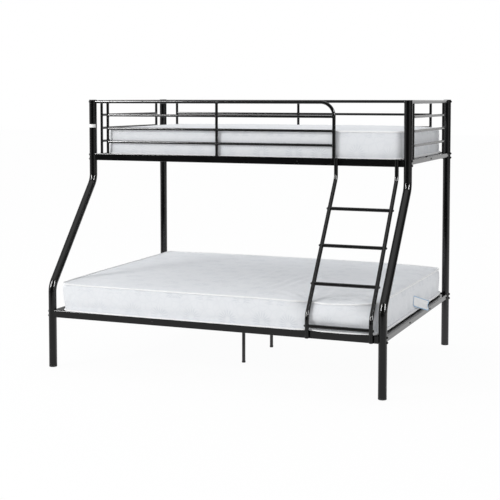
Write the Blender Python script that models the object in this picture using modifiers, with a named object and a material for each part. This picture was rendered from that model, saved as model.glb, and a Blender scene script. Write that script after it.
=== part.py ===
"""Triple bunk bed: a single bed over a double bed in one black steel tube frame.

The length runs along X, the ladder side faces -Y and Z is up.
The origin is on the floor, at the middle of the overall box.
"""
import math

import bmesh
import bpy
from mathutils import Matrix, Vector

# Clearances, in metres like every length here
touch_gap = 0.0003
overrun = 0.010
weld_distance = 0.00001

# Overall frame, between the centre lines of the posts
bed_length = 1.930
upper_depth = 0.940
lower_depth = 1.414
overall_height = 1.511

# Posts
post_diameter = 0.045
post_wall = 0.0015
post_bend_radius = 0.100
post_bend_high_drop = 0.475
post_bend_low = 0.461
foot_height = 0.008
foot_rounding = 0.003
foot_plug_length = 0.020
cap_thickness = 0.003
cap_plug_length = 0.012

# Side rails, which carry the decks
rail_height = 0.040
rail_width = 0.025
rail_wall = 0.0015
rail_end_block = 0.022
upper_rail_drop = 0.3405
lower_rail_centre = 0.3045
ledge_width = 0.020
ledge_thickness = 0.002

# Bolts that hold the side rails to the posts
bolt_head_diameter = 0.0135
bolt_head_height = 0.006
bolt_head_rounding = 0.002
bolt_shank_diameter = 0.008
bolt_spacing = 0.025
bolt_grip = 0.014

# End rails and the tubes above them
end_rail_width = 0.030
lower_end_rail_height = 0.0295
lower_end_rail_centre = 0.3046
upper_end_rail_height = 0.025
upper_end_rail_drop = 0.337
end_rail_wall = 0.0015
top_tube_diameter = 0.019
top_tube_wall = 0.0015
top_tube_drop = 0.012
bar_diameter = 0.016
thin_rail_diameter = 0.015
thin_rail_drop = 0.080
thin_rail_pitch = 0.079
thin_rail_count = 3
grille_bar_setback = 0.104

# Guards
guard_corner_radius = 0.078
front_guard_first_bar = 0.100
front_guard_middle_bar = 0.807
front_guard_length = 1.512
rear_guard_bar_setback = 0.103

# Ladder
stile_diameter = 0.022
stile_wall = 0.0015
stile_spacing = 0.342
ladder_setback = 0.226
stile_top_drop = 0.320
stile_bottom = 0.288
stile_bend_high_drop = 0.4264
stile_bend_low = 0.4061
stile_bend_radius = 0.080
rung_diameter = 0.019
rung_wall = 0.0015
rung_top_drop = 0.585
rung_sloping_low = 0.556
sloping_rung_count = 3
rung_bottom_height = 0.351

# Slat decks and what carries their middles
slat_width = 0.030
slat_pitch = 0.100
slat_thickness = 0.002
slat_count = 18
deck_edge_width = 0.020
deck_clearance = 0.001
lower_deck_drop = 0.0
upper_deck_drop = 0.0045
beam_width = 0.025
beam_height = 0.020
beam_wall = 0.0015
lower_beam_rear_setback = 0.472
lower_beam_front_setback = 0.916
leg_diameter = 0.0195
leg_wall = 0.0015
leg_foot_height = 0.010
leg_foot_diameter = 0.022
leg_foot_rounding = 0.004
leg_plug_length = 0.018

# Mattresses
mattress_thickness = 0.155
mattress_crown = 0.012
mattress_drawn_in = 0.012
mattress_corner_radius = 0.050
lower_mattress_end_room = 0.078
lower_mattress_side_room = 0.009
lower_mattress_shift_along = 0.012
lower_mattress_shift_forward = 0.0105
upper_mattress_end_room = 0.122
upper_mattress_side_room = 0.030
upper_mattress_shift_along = 0.026
stile_notch_clearance = 0.003

# Counts that set how fine the round shapes are
post_bevel_steps = 6
tube_bevel_steps = 4
bend_steps = 4
turn_steps = 16
bolt_turn_steps = 10
arc_steps = 2
mattress_cells = (18, 12, 5)
line_gather_share = 0.9
crown_power = 4

# Places that follow from the sizes above
half_length = bed_length / 2
post_radius = post_diameter / 2
stile_radius = stile_diameter / 2
stile_offset = rail_width / 2 + touch_gap + stile_radius
overall_depth = lower_depth + stile_offset + stile_radius + post_radius
rear_line = overall_depth / 2 - post_radius
upper_front_line = rear_line - upper_depth
lower_front_line = rear_line - lower_depth
upper_middle_line = (rear_line + upper_front_line) / 2
lower_middle_line = (rear_line + lower_front_line) / 2
post_bottom = foot_height + touch_gap
post_top = overall_height - cap_thickness - touch_gap
rail_length_between_posts = bed_length - post_diameter
top_tube_centre = overall_height - top_tube_drop
thin_rail_top = top_tube_centre - thin_rail_drop
post_bend_high = overall_height - post_bend_high_drop
upper_rail_centre = overall_height - upper_rail_drop
upper_end_rail_centre = overall_height - upper_end_rail_drop
stile_top = overall_height - stile_top_drop
stile_bend_high = overall_height - stile_bend_high_drop
rung_top_height = overall_height - rung_top_drop
rung_pitch = (rung_top_height - rung_sloping_low) / (sloping_rung_count - 1)
ladder_middle = half_length - ladder_setback
stile_lines = (ladder_middle - stile_spacing / 2, ladder_middle + stile_spacing / 2)

parts = bpy.data.collections.new("triple_bunk_bed")
cutters = bpy.data.collections.new("cutters")


def clear_scene():
    """Start from an empty scene."""
    for old in list(bpy.data.objects):
        bpy.data.objects.remove(old, do_unlink=True)
    bpy.context.scene.collection.children.link(parts)
    bpy.context.scene.collection.children.link(cutters)


def make_material(name, colour, roughness, metallic):
    """One Principled material with a plain colour."""
    material = bpy.data.materials.new(name)
    material.use_nodes = True
    shader = material.node_tree.nodes["Principled BSDF"]
    shader.inputs["Base Color"].default_value = (*colour, 1)
    shader.inputs["Roughness"].default_value = roughness
    shader.inputs["Metallic"].default_value = metallic
    return material


def add_object(name, mesh, collection, place=(0, 0, 0)):
    """Link a mesh as an object at a place."""
    piece = bpy.data.objects.new(name, mesh)
    piece.location = place
    collection.objects.link(piece)
    if collection is cutters:
        piece.hide_render = True
        piece.display_type = "WIRE"
    return piece


def finish_piece(piece, material_name, colour, roughness, metallic):
    """Give a piece its own material, smooth round faces and the common parent."""
    piece.data.materials.clear()
    piece.data.materials.append(make_material(material_name, colour, roughness, metallic))
    piece.data.shade_smooth()
    piece.data.set_sharp_from_angle(angle=math.radians(35))
    piece.parent = bed_frame


def finish_steel(piece):
    """Black powder coat on steel."""
    finish_piece(piece, piece.name + "_coat", (0.012, 0.012, 0.013), 0.32, 0.0)


def finish_plastic(piece):
    """Black moulded plastic."""
    finish_piece(piece, piece.name + "_plastic", (0.010, 0.010, 0.011), 0.45, 0.0)


def finish_fabric(piece):
    """White ticking."""
    finish_piece(piece, piece.name + "_ticking", (0.80, 0.81, 0.83), 0.85, 0.0)


def welded(mesh):
    """Weld the loose caps of a mesh that was a curve."""
    work = bmesh.new()
    work.from_mesh(mesh)
    bmesh.ops.remove_doubles(work, verts=work.verts, dist=weld_distance)
    work.to_mesh(mesh)
    work.free()
    return mesh


def curve_to_mesh(name, curve, collection, place):
    """Turn a curve into a closed mesh object at a place and remove the curve."""
    holder = bpy.data.objects.new(name + "_curve", curve)
    holder.location = place
    bpy.context.scene.collection.objects.link(holder)
    graph = bpy.context.evaluated_depsgraph_get()
    mesh = welded(bpy.data.meshes.new_from_object(holder.evaluated_get(graph)))
    mesh.name = name
    piece = add_object(name, mesh, collection)
    piece.matrix_world = holder.matrix_world.copy()
    bpy.data.objects.remove(holder)
    return piece


def bent_path(corners, radius):
    """Straight runs between the corners, each inner corner rounded by an arc."""
    path = [corners[0]]
    for before, corner, after in zip(corners, corners[1:], corners[2:]):
        coming = (corner - before).normalized()
        going = (after - corner).normalized()
        turn = coming.angle(going)
        start = corner - coming * radius * math.tan(turn / 2)
        axis = coming.cross(going).normalized()
        centre = start + axis.cross(coming) * radius
        for step in range(bend_steps + 1):
            spin = Matrix.Rotation(turn * step / bend_steps, 3, axis)
            path.append(centre + spin @ (start - centre))
    path.append(corners[-1])
    return path


def tube(name, path, diameter, bevel_steps, wall, collection, place=(0, 0, 0)):
    """A round tube along a path: a solid rod when the wall is zero."""
    curve = bpy.data.curves.new(name, "CURVE")
    curve.dimensions = "3D"
    curve.bevel_depth = diameter / 2
    curve.bevel_resolution = bevel_steps
    curve.use_fill_caps = wall == 0
    spline = curve.splines.new("POLY")
    spline.points.add(len(path) - 1)
    for point, spot in zip(spline.points, path):
        point.co = (*spot, 1)
    piece = curve_to_mesh(name, curve, collection, place)
    if wall > 0:
        shell = piece.modifiers.new("wall", "SOLIDIFY")
        shell.thickness = wall
        shell.offset = -1
        shell.use_even_offset = True
    return piece


def box(name, size, collection, place=(0, 0, 0)):
    """A box about its own middle."""
    work = bmesh.new()
    bmesh.ops.create_cube(work, size=1)
    bmesh.ops.scale(work, verts=work.verts, vec=size)
    mesh = bpy.data.meshes.new(name)
    work.to_mesh(mesh)
    work.free()
    return add_object(name, mesh, collection, place)


def rod_mesh(name, diameter, length, sides, axis, places):
    """Closed rods of one size along X, Y or Z about several places, in one mesh."""
    turns = {
        "X": Matrix.Rotation(math.pi / 2, 4, "Y"),
        "Y": Matrix.Rotation(math.pi / 2, 4, "X"),
        "Z": Matrix.Identity(4),
    }
    work = bmesh.new()
    for place in places:
        bmesh.ops.create_cone(
            work,
            cap_ends=True,
            segments=sides,
            radius1=diameter / 2,
            radius2=diameter / 2,
            depth=length,
            matrix=Matrix.Translation(place) @ turns[axis],
        )
    mesh = bpy.data.meshes.new(name)
    work.to_mesh(mesh)
    work.free()
    return mesh


def rods(name, diameter, length, sides, axis, places):
    """Rods used to cut or to join, kept with the cutters."""
    return add_object(name, rod_mesh(name, diameter, length, sides, axis, places), cutters)


def combine(piece, other, operation):
    """Cut a piece by another, or join the other to it."""
    change = piece.modifiers.new(other.name, "BOOLEAN")
    change.operation = operation
    change.solver = "EXACT"
    change.object = other


def turned(name, profile, steps, collection):
    """A solid turned about Z from a profile of (radius, height) points, top to bottom."""
    work = bmesh.new()
    corners = [work.verts.new((radius, 0, height)) for radius, height in profile]
    for start, end in zip(corners, corners[1:]):
        work.edges.new((start, end))
    mesh = bpy.data.meshes.new(name)
    work.to_mesh(mesh)
    work.free()
    piece = add_object(name, mesh, collection)
    screw = piece.modifiers.new("turn", "SCREW")
    screw.steps = steps
    screw.render_steps = steps
    screw.use_merge_vertices = True
    screw.merge_threshold = weld_distance
    return piece


def plug_radius(diameter, wall, bevel_steps):
    """Radius of a plug that clears the flats inside a faceted tube."""
    sides = 2 * bevel_steps + 4
    return diameter / 2 * math.cos(math.pi / sides) - wall - touch_gap


def quarter_arc(middle_radius, middle_height, rounding, start_angle):
    """Points of a quarter circle of a profile, turning clockwise from an angle."""
    points = []
    for step in range(arc_steps + 1):
        angle = start_angle - math.pi / 2 * step / arc_steps
        radius = middle_radius + rounding * math.cos(angle)
        height = middle_height + rounding * math.sin(angle)
        points.append((radius, height))
    return points


clear_scene()
bed_frame = bpy.data.objects.new("bed_frame", None)
parts.objects.link(bed_frame)

# Upright cutters at each place where a post stands, for the ends that meet it
cope_diameter = post_diameter + 2 * touch_gap
cope_sides = 32
cope_height = overall_height + 2 * overrun


def post_copes(name, line):
    """Cutters round the two posts that stand on one line."""
    middle = overall_height / 2
    places = [Vector((side * half_length, line, middle)) for side in (-1, 1)]
    return rods(name, cope_diameter, cope_height, cope_sides, "Z", places)


rear_copes = post_copes("rear_post_copes", rear_line)
upper_front_copes = post_copes("upper_front_post_copes", upper_front_line)
lower_front_copes = post_copes("lower_front_post_copes", lower_front_line)

# Holes for the rail bolts, through both walls of a post and into the rail's end
hole_diameter = bolt_shank_diameter + 2 * touch_gap
bolt_length = post_diameter + bolt_grip
hole_length = bolt_length + 2 * overrun


def bolt_heights(rail_centre):
    """The two heights of a rail's bolts."""
    return (rail_centre - bolt_spacing / 2, rail_centre + bolt_spacing / 2)


def bolt_holes(name, line, rail_centre):
    """Cutters for the four bolts of one side rail."""
    reach = half_length + post_radius - bolt_length / 2
    places = []
    for side in (-1, 1):
        for height in bolt_heights(rail_centre):
            places.append(Vector((side * reach, line, height)))
    return rods(name, hole_diameter, hole_length, bolt_turn_steps, "X", places)


rail_rows = (
    ("upper_front", upper_front_line, upper_rail_centre),
    ("upper_rear", rear_line, upper_rail_centre),
    ("lower_front", lower_front_line, lower_rail_centre),
    ("lower_rear", rear_line, lower_rail_centre),
)
holes = {row: bolt_holes(row + "_bolt_holes", line, centre) for row, line, centre in rail_rows}


def make_post(name, side, front):
    """One post: straight at the back, bent twice at the front."""
    line = upper_front_line if front else rear_line
    top = Vector((0, 0, post_top))
    bottom = Vector((0, 0, post_bottom))
    corners = [top, bottom]
    if front:
        step = Vector((0, lower_front_line - upper_front_line, 0))
        high = Vector((0, 0, post_bend_high))
        low = Vector((0, 0, post_bend_low))
        corners = [top, high, low + step, bottom + step]
    path = bent_path(corners, post_bend_radius)
    place = (side * half_length, line, 0)
    post = tube(name, path, post_diameter, post_bevel_steps, post_wall, parts, place)
    depth_name = "front" if front else "rear"
    combine(post, holes["upper_" + depth_name], "DIFFERENCE")
    combine(post, holes["lower_" + depth_name], "DIFFERENCE")
    finish_steel(post)


def make_post_cap(name, side, line):
    """A plug with a flat disc that closes the top of a post."""
    inner_radius = plug_radius(post_diameter, post_wall, post_bevel_steps)
    profile = (
        (0, 0),
        (post_radius, 0),
        (post_radius, -cap_thickness),
        (inner_radius, -cap_thickness),
        (inner_radius, -cap_thickness - cap_plug_length),
        (0, -cap_thickness - cap_plug_length),
    )
    cap = turned(name, profile, turn_steps, parts)
    cap.location = (side * half_length, line, overall_height)
    finish_plastic(cap)


def make_post_foot(name, side, line):
    """A plug with a thick rounded rim that the post stands on."""
    inner_radius = plug_radius(post_diameter, post_wall, post_bevel_steps)
    profile = [
        (0, foot_height + foot_plug_length),
        (inner_radius, foot_height + foot_plug_length),
        (inner_radius, foot_height),
        (post_radius, foot_height),
    ]
    profile += quarter_arc(post_radius - foot_rounding, foot_rounding, foot_rounding, 0)
    profile.append((0, 0))
    foot = turned(name, profile, turn_steps, parts)
    foot.location = (side * half_length, line, 0)
    finish_plastic(foot)


for side, side_name in ((-1, "left"), (1, "right")):
    make_post("post_front_" + side_name, side, True)
    make_post("post_rear_" + side_name, side, False)
    make_post_cap("post_cap_front_" + side_name, side, upper_front_line)
    make_post_cap("post_cap_rear_" + side_name, side, rear_line)
    make_post_foot("post_foot_front_" + side_name, side, lower_front_line)
    make_post_foot("post_foot_rear_" + side_name, side, rear_line)


def deck_top(level):
    """Height of the top of a deck's slats."""
    if level == "upper":
        return upper_rail_centre + rail_height / 2 - upper_deck_drop
    return lower_rail_centre + rail_height / 2 - lower_deck_drop


def make_side_rail(name, row, line, centre, copes):
    """A box tube from post to post, blocked at its ends, with a ledge on its inner side."""
    front = row.endswith("front")
    level = row.split("_")[0]
    rail = box(name, (bed_length, rail_width, rail_height), parts)
    ledge_top = deck_top(level) - slat_thickness - touch_gap - centre
    ledge_length = rail_length_between_posts - 2 * deck_edge_width
    root = rail_wall / 2
    ledge = box(
        name + "_ledge",
        (ledge_length, ledge_width + root, ledge_thickness),
        cutters,
        (0, (rail_width + ledge_width - root) / 2, ledge_top - ledge_thickness / 2),
    )
    hollow = box(
        name + "_hollow",
        (
            rail_length_between_posts - 2 * rail_end_block,
            rail_width - 2 * rail_wall,
            rail_height - 2 * rail_wall,
        ),
        cutters,
    )
    combine(rail, ledge, "UNION")
    combine(rail, hollow, "DIFFERENCE")
    combine(rail, copes, "DIFFERENCE")
    combine(rail, holes[row], "DIFFERENCE")
    turn = 0 if front else math.pi
    for piece in (rail, ledge, hollow):
        piece.location = Matrix.Rotation(turn, 3, "Z") @ piece.location + Vector((0, line, centre))
        piece.rotation_euler.z = turn
    finish_steel(rail)


row_copes = {
    "upper_front": upper_front_copes,
    "upper_rear": rear_copes,
    "lower_front": lower_front_copes,
    "lower_rear": rear_copes,
}
for row, line, centre in rail_rows:
    make_side_rail("side_rail_" + row, row, line, centre, row_copes[row])


def make_bolt(name, side, line, height):
    """A bolt with a rounded head, pushed in along X from outside the post."""
    head_radius = bolt_head_diameter / 2
    shank_radius = bolt_shank_diameter / 2
    profile = [(0, bolt_head_height)]
    profile += quarter_arc(
        head_radius - bolt_head_rounding,
        bolt_head_height - bolt_head_rounding,
        bolt_head_rounding,
        math.pi / 2,
    )
    profile += [
        (head_radius, 0),
        (shank_radius, 0),
        (shank_radius, -bolt_length),
        (0, -bolt_length),
    ]
    bolt = turned(name, profile, bolt_turn_steps, parts)
    bolt.location = (side * (half_length + post_radius + touch_gap), line, height)
    bolt.rotation_euler.y = side * math.pi / 2
    finish_steel(bolt)


for row, line, centre in rail_rows:
    for side, side_name in ((-1, "left"), (1, "right")):
        for height, height_name in zip(bolt_heights(centre), ("low", "high")):
            make_bolt(f"rail_bolt_{row}_{side_name}_{height_name}", side, line, height)


def make_end_rail(name, side, front_line, height, centre, copes):
    """A box tube between the two posts of one end."""
    length = rear_line - front_line
    place = (side * half_length, (rear_line + front_line) / 2, centre)
    rail = box(name, (end_rail_width, length, height), parts, place)
    hollow_size = (end_rail_width - 2 * end_rail_wall, length + 2 * overrun, height - 2 * end_rail_wall)
    hollow = box(name + "_hollow", hollow_size, cutters, place)
    combine(rail, hollow, "DIFFERENCE")
    combine(rail, rear_copes, "DIFFERENCE")
    combine(rail, copes, "DIFFERENCE")
    finish_steel(rail)


def make_end_top_tube(name, side):
    """A round tube between the tops of the two posts of one end."""
    half_run = upper_depth / 2
    path = [Vector((0, -half_run, 0)), Vector((0, half_run, 0))]
    place = (side * half_length, upper_middle_line, top_tube_centre)
    rail = tube(name, path, top_tube_diameter, tube_bevel_steps, top_tube_wall, parts, place)
    combine(rail, rear_copes, "DIFFERENCE")
    combine(rail, upper_front_copes, "DIFFERENCE")
    finish_steel(rail)


thin_rail_heights = [thin_rail_top - thin_rail_pitch * row for row in range(thin_rail_count)]
bar_sides = 12
thin_rail_sides = 10


def make_end_grille(name, side):
    """Two upright bars with thin rails between them, under an end top tube."""
    across = side * half_length
    bottom = upper_end_rail_centre + upper_end_rail_height / 2 + touch_gap
    half_gap = upper_depth / 2 - grille_bar_setback
    bar_length = top_tube_centre - bottom
    bar_middle = (top_tube_centre + bottom) / 2
    bars = [Vector((across, upper_middle_line + end * half_gap, bar_middle)) for end in (-1, 1)]
    mesh = rod_mesh(name, bar_diameter, bar_length, bar_sides, "Z", bars)
    grille = add_object(name, mesh, parts)
    thin = [Vector((across, upper_middle_line, height)) for height in thin_rail_heights]
    thin_rails = rods(name + "_thin_rails", thin_rail_diameter, 2 * half_gap, thin_rail_sides, "Y", thin)
    above = rods(
        name + "_tube_seat",
        top_tube_diameter + 2 * touch_gap,
        upper_depth,
        cope_sides,
        "Y",
        [Vector((across, upper_middle_line, top_tube_centre))],
    )
    combine(grille, thin_rails, "UNION")
    combine(grille, above, "DIFFERENCE")
    finish_steel(grille)


for side, side_name in ((-1, "left"), (1, "right")):
    make_end_rail(
        "end_rail_upper_" + side_name,
        side,
        upper_front_line,
        upper_end_rail_height,
        upper_end_rail_centre,
        upper_front_copes,
    )
    make_end_rail(
        "end_rail_lower_" + side_name,
        side,
        lower_front_line,
        lower_end_rail_height,
        lower_end_rail_centre,
        lower_front_copes,
    )
    make_end_top_tube("end_top_tube_" + side_name, side)
    make_end_grille("end_grille_" + side_name, side)

guard_foot = upper_rail_centre + rail_height / 2 + touch_gap


def add_guard_bars(guard, line, bar_places, thin_start, thin_end):
    """Join upright bars and thin rails to a guard's top tube."""
    bar_length = top_tube_centre - guard_foot
    bar_middle = (top_tube_centre + guard_foot) / 2
    bars = [Vector((across, line, bar_middle)) for across in bar_places]
    thin_middle = (thin_start + thin_end) / 2
    thin = [Vector((thin_middle, line, height)) for height in thin_rail_heights]
    name = guard.name
    upright = rods(name + "_bars", bar_diameter, bar_length, bar_sides, "Z", bars)
    run = thin_end - thin_start
    thin_rails = rods(name + "_thin_rails", thin_rail_diameter, run, thin_rail_sides, "X", thin)
    combine(guard, upright, "UNION")
    combine(guard, thin_rails, "UNION")


def make_front_guard():
    """A hoop that leaves the left post, turns down and stands on the side rail."""
    start = -half_length
    leg = start + front_guard_length
    corners = [
        Vector((start, upper_front_line, top_tube_centre)),
        Vector((leg, upper_front_line, top_tube_centre)),
        Vector((leg, upper_front_line, guard_foot)),
    ]
    path = bent_path(corners, guard_corner_radius)
    guard = tube("guard_front", path, top_tube_diameter, tube_bevel_steps, 0, parts)
    first = start + front_guard_first_bar
    middle = start + front_guard_middle_bar
    add_guard_bars(guard, upper_front_line, (first, middle), first, leg)
    combine(guard, upper_front_copes, "DIFFERENCE")
    finish_steel(guard)


def make_rear_guard():
    """A straight guard between the rear posts."""
    path = [Vector((side * half_length, rear_line, top_tube_centre)) for side in (-1, 1)]
    guard = tube("guard_rear", path, top_tube_diameter, tube_bevel_steps, 0, parts)
    end_bar = half_length - rear_guard_bar_setback
    add_guard_bars(guard, rear_line, (-end_bar, 0, end_bar), -end_bar, end_bar)
    combine(guard, rear_copes, "DIFFERENCE")
    finish_steel(guard)


make_front_guard()
make_rear_guard()

upper_stile_line = upper_front_line - stile_offset
lower_stile_line = lower_front_line - stile_offset


def stile_path(extra):
    """Path of a ladder stile: upright, sloping, upright, and longer by an extra at its ends."""
    corners = [
        Vector((0, upper_stile_line, stile_top + extra)),
        Vector((0, upper_stile_line, stile_bend_high)),
        Vector((0, lower_stile_line, stile_bend_low)),
        Vector((0, lower_stile_line, stile_bottom - extra)),
    ]
    return bent_path(corners, stile_bend_radius)


def slope_line(height):
    """Where the sloping stretch of the ladder lies at a height."""
    share = (height - stile_bend_low) / (stile_bend_high - stile_bend_low)
    share = min(max(share, 0), 1)
    return lower_stile_line + share * (upper_stile_line - lower_stile_line)


stile_copes = []
stile_notches = []
for across, side_name in zip(stile_lines, ("left", "right")):
    place = (across, 0, 0)
    stile_name = "ladder_stile_" + side_name
    stile = tube(stile_name, stile_path(0), stile_diameter, tube_bevel_steps, stile_wall, parts, place)
    finish_steel(stile)
    cope_size = stile_diameter + 2 * touch_gap
    cope = tube(stile_name + "_cope", stile_path(overrun), cope_size, tube_bevel_steps, 0, cutters, place)
    stile_copes.append(cope)
    notch_size = stile_diameter + 2 * stile_notch_clearance
    notch = tube(stile_name + "_notch", stile_path(overrun), notch_size, tube_bevel_steps, 0, cutters, place)
    stile_notches.append(notch)

rung_heights = [rung_bottom_height]
for step in range(sloping_rung_count):
    rung_heights.append(rung_sloping_low + step * rung_pitch)
for number, height in enumerate(rung_heights, start=1):
    half_run = stile_spacing / 2
    path = [Vector((-half_run, 0, 0)), Vector((half_run, 0, 0))]
    place = (ladder_middle, slope_line(height), height)
    rung = tube(f"ladder_rung_{number}", path, rung_diameter, tube_bevel_steps, rung_wall, parts, place)
    for cope in stile_copes:
        combine(rung, cope, "DIFFERENCE")
    finish_steel(rung)


def make_beam(name, line, level):
    """A box tube along the bed under the middle of a deck."""
    length = bed_length - end_rail_width - 2 * touch_gap
    centre = deck_top(level) - slat_thickness - touch_gap - beam_height / 2
    place = (0, line, centre)
    beam = box(name, (length, beam_width, beam_height), parts, place)
    hollow_size = (length + 2 * overrun, beam_width - 2 * beam_wall, beam_height - 2 * beam_wall)
    hollow = box(name + "_hollow", hollow_size, cutters, place)
    combine(beam, hollow, "DIFFERENCE")
    finish_steel(beam)
    return centre - beam_height / 2


def make_centre_leg(name, foot_name, line, beam_bottom):
    """A round leg under the middle of a lower beam, with its foot."""
    top = beam_bottom - touch_gap
    path = [Vector((0, 0, leg_foot_height + touch_gap)), Vector((0, 0, top))]
    leg = tube(name, path, leg_diameter, tube_bevel_steps, leg_wall, parts, (0, line, 0))
    finish_steel(leg)
    inner_radius = plug_radius(leg_diameter, leg_wall, tube_bevel_steps)
    rim_radius = leg_foot_diameter / 2
    profile = [
        (0, leg_foot_height + leg_plug_length),
        (inner_radius, leg_foot_height + leg_plug_length),
        (inner_radius, leg_foot_height),
        (rim_radius, leg_foot_height),
    ]
    profile += quarter_arc(rim_radius - leg_foot_rounding, leg_foot_rounding, leg_foot_rounding, 0)
    profile.append((0, 0))
    foot = turned(foot_name, profile, turn_steps, parts)
    foot.location = (0, line, 0)
    finish_plastic(foot)


def make_deck(name, level, front_line):
    """Flat slats across the bed between two edge strips, cut from one outline."""
    width = rear_line - front_line - rail_width - 2 * deck_clearance
    length = (slat_count - 1) * slat_pitch + slat_width
    curve = bpy.data.curves.new(name, "CURVE")
    curve.dimensions = "2D"
    curve.fill_mode = "BOTH"
    curve.extrude = slat_thickness / 2
    gap_width = width - 2 * deck_edge_width
    rectangles = [(0, length, width)]
    for gap in range(slat_count - 1):
        middle = (gap - (slat_count - 2) / 2) * slat_pitch
        rectangles.append((middle, slat_pitch - slat_width, gap_width))
    for middle, run, depth in rectangles:
        spline = curve.splines.new("POLY")
        spline.points.add(3)
        spline.use_cyclic_u = True
        for point, (along, across) in zip(spline.points, ((-1, -1), (1, -1), (1, 1), (-1, 1))):
            point.co = (middle + along * run / 2, across * depth / 2, 0, 1)
    place = (0, (rear_line + front_line) / 2, deck_top(level) - slat_thickness / 2)
    deck = curve_to_mesh(name, curve, parts, place)
    finish_steel(deck)


make_deck("slat_deck_upper", "upper", upper_front_line)
make_deck("slat_deck_lower", "lower", lower_front_line)
make_beam("centre_beam_upper", upper_middle_line, "upper")
for depth_name, setback in (("front", lower_beam_front_setback), ("rear", lower_beam_rear_setback)):
    line = rear_line - setback
    underside = make_beam("centre_beam_lower_" + depth_name, line, "lower")
    make_centre_leg("centre_leg_" + depth_name, "leg_foot_" + depth_name, line, underside)


def gathered(share):
    """Move evenly spread lines towards both ends."""
    reach = math.pi / 2 * line_gather_share
    return math.sin(share * reach) / math.sin(reach)


def round_corner(along, across, half_run, half_width, radius):
    """Map a point of a rectangle to the same rectangle with round corners."""
    inner_along = min(max(along, radius - half_run), half_run - radius)
    inner_across = min(max(across, radius - half_width), half_width - radius)
    rest = Vector((along - inner_along, across - inner_across))
    if rest.length > 0:
        rest *= max(abs(rest.x), abs(rest.y)) / rest.length
    return inner_along + rest.x, inner_across + rest.y


def make_mattress(name, length, width, place):
    """A sprung mattress: crowned top, sides drawn in between its edges, round corners."""
    work = bmesh.new()
    bmesh.ops.create_cube(work, size=2)
    for axis, cells in enumerate(mattress_cells):
        lines = []
        for edge in work.edges:
            run = edge.verts[0].co - edge.verts[1].co
            if abs(run[axis]) > 0.5 * run.length:
                lines.append(edge)
        bmesh.ops.subdivide_edges(work, edges=lines, cuts=cells - 1, use_grid_fill=True)
    for vert in work.verts:
        along_share = gathered(vert.co.x)
        across_share = gathered(vert.co.y)
        height_share = (vert.co.z + 1) / 2
        drawn = mattress_drawn_in * math.sin(math.pi * height_share)
        along, across = round_corner(
            along_share * (length / 2 - drawn),
            across_share * (width / 2 - drawn),
            length / 2 - drawn,
            width / 2 - drawn,
            mattress_corner_radius,
        )
        crown_share = (1 - abs(along_share) ** crown_power) * (1 - abs(across_share) ** crown_power)
        height = height_share * mattress_thickness + height_share ** 2 * crown_share * mattress_crown
        vert.co = (along, across, height)
    mesh = bpy.data.meshes.new(name)
    work.to_mesh(mesh)
    work.free()
    mattress = add_object(name, mesh, parts, place)
    finish_fabric(mattress)
    return mattress


make_mattress(
    "mattress_upper",
    bed_length - upper_mattress_end_room,
    upper_depth - upper_mattress_side_room,
    (upper_mattress_shift_along, upper_middle_line, deck_top("upper") + touch_gap),
)
lower_mattress = make_mattress(
    "mattress_lower",
    bed_length - lower_mattress_end_room,
    lower_depth - lower_mattress_side_room,
    (
        lower_mattress_shift_along,
        lower_middle_line - lower_mattress_shift_forward,
        lower_rail_centre + rail_height / 2 + touch_gap,
    ),
)
for notch in stile_notches:
    combine(lower_mattress, notch, "DIFFERENCE")
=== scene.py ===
"""The looks of the triple bunk bed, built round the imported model.

Every round tube, box rail, bolt and mattress is made again with fine faces, welds and fabric.
All lengths are in metres.
"""
import math

import bpy
import numpy as np
from mathutils import Matrix, Vector


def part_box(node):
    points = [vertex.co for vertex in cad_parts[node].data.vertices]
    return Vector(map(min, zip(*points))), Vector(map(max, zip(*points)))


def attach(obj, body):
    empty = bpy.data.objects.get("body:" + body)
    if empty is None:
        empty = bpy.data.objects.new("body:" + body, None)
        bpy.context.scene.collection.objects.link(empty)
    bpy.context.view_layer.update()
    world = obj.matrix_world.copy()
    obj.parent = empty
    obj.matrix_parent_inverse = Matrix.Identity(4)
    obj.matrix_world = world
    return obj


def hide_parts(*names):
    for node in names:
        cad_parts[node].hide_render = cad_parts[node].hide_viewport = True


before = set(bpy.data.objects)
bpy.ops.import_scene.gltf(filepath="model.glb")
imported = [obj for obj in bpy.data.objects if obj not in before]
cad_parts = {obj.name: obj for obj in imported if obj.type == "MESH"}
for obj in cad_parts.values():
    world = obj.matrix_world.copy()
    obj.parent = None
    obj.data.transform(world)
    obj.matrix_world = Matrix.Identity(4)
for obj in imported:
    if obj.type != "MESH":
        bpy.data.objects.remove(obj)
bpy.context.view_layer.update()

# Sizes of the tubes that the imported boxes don't give
post_bend_radius = 0.100
post_bend_high = 1.036
post_bend_low = 0.461
stile_bend_radius = 0.080
stile_bend_high = 1.0846
stile_bend_low = 0.4061
guard_corner_radius = 0.078
bar_radius = 0.008
thin_rail_radius = 0.0075
top_tube_radius = 0.0095
rung_radius = 0.0095
rail_half_width = 0.0125
rail_corner = 0.0028
box_corner_steps = 4
corner_hold = 0.0004
ledge_thickness = 0.002
thin_rail_drops = (0.080, 0.159, 0.238)
front_guard_bars = (0.100, 0.807)
rear_bar_setback = 0.103
grille_bar_setback = 0.104
sunk = 0.0008

# How finely the round shapes are drawn
post_sides = 48
tube_sides = 28
bend_steps = 20
turn_sides = 48
bead_sides = 6
bead_steps = 36
bead_radius = 0.0019
bead_ripple = 0.00035
bead_ripples = 11

# Bolts; the dome and the hexagon are shares of the radius and the height
rail_bolt_radius = 0.00675
rail_bolt_height = 0.006
rail_bolt_skirt = 0.0014
small_bolt_radius = 0.0062
small_bolt_height = 0.0055
bolt_sides = 24
dome_foot = 0.30
dome_rise = 0.62
dome_flat = 0.45
dome_angles = (18, 38, 58, 78)
hex_share = 0.38
hex_rim = 1.25
hex_edge = 0.0002
hex_taper = 0.98
hex_floor = 0.45


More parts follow.
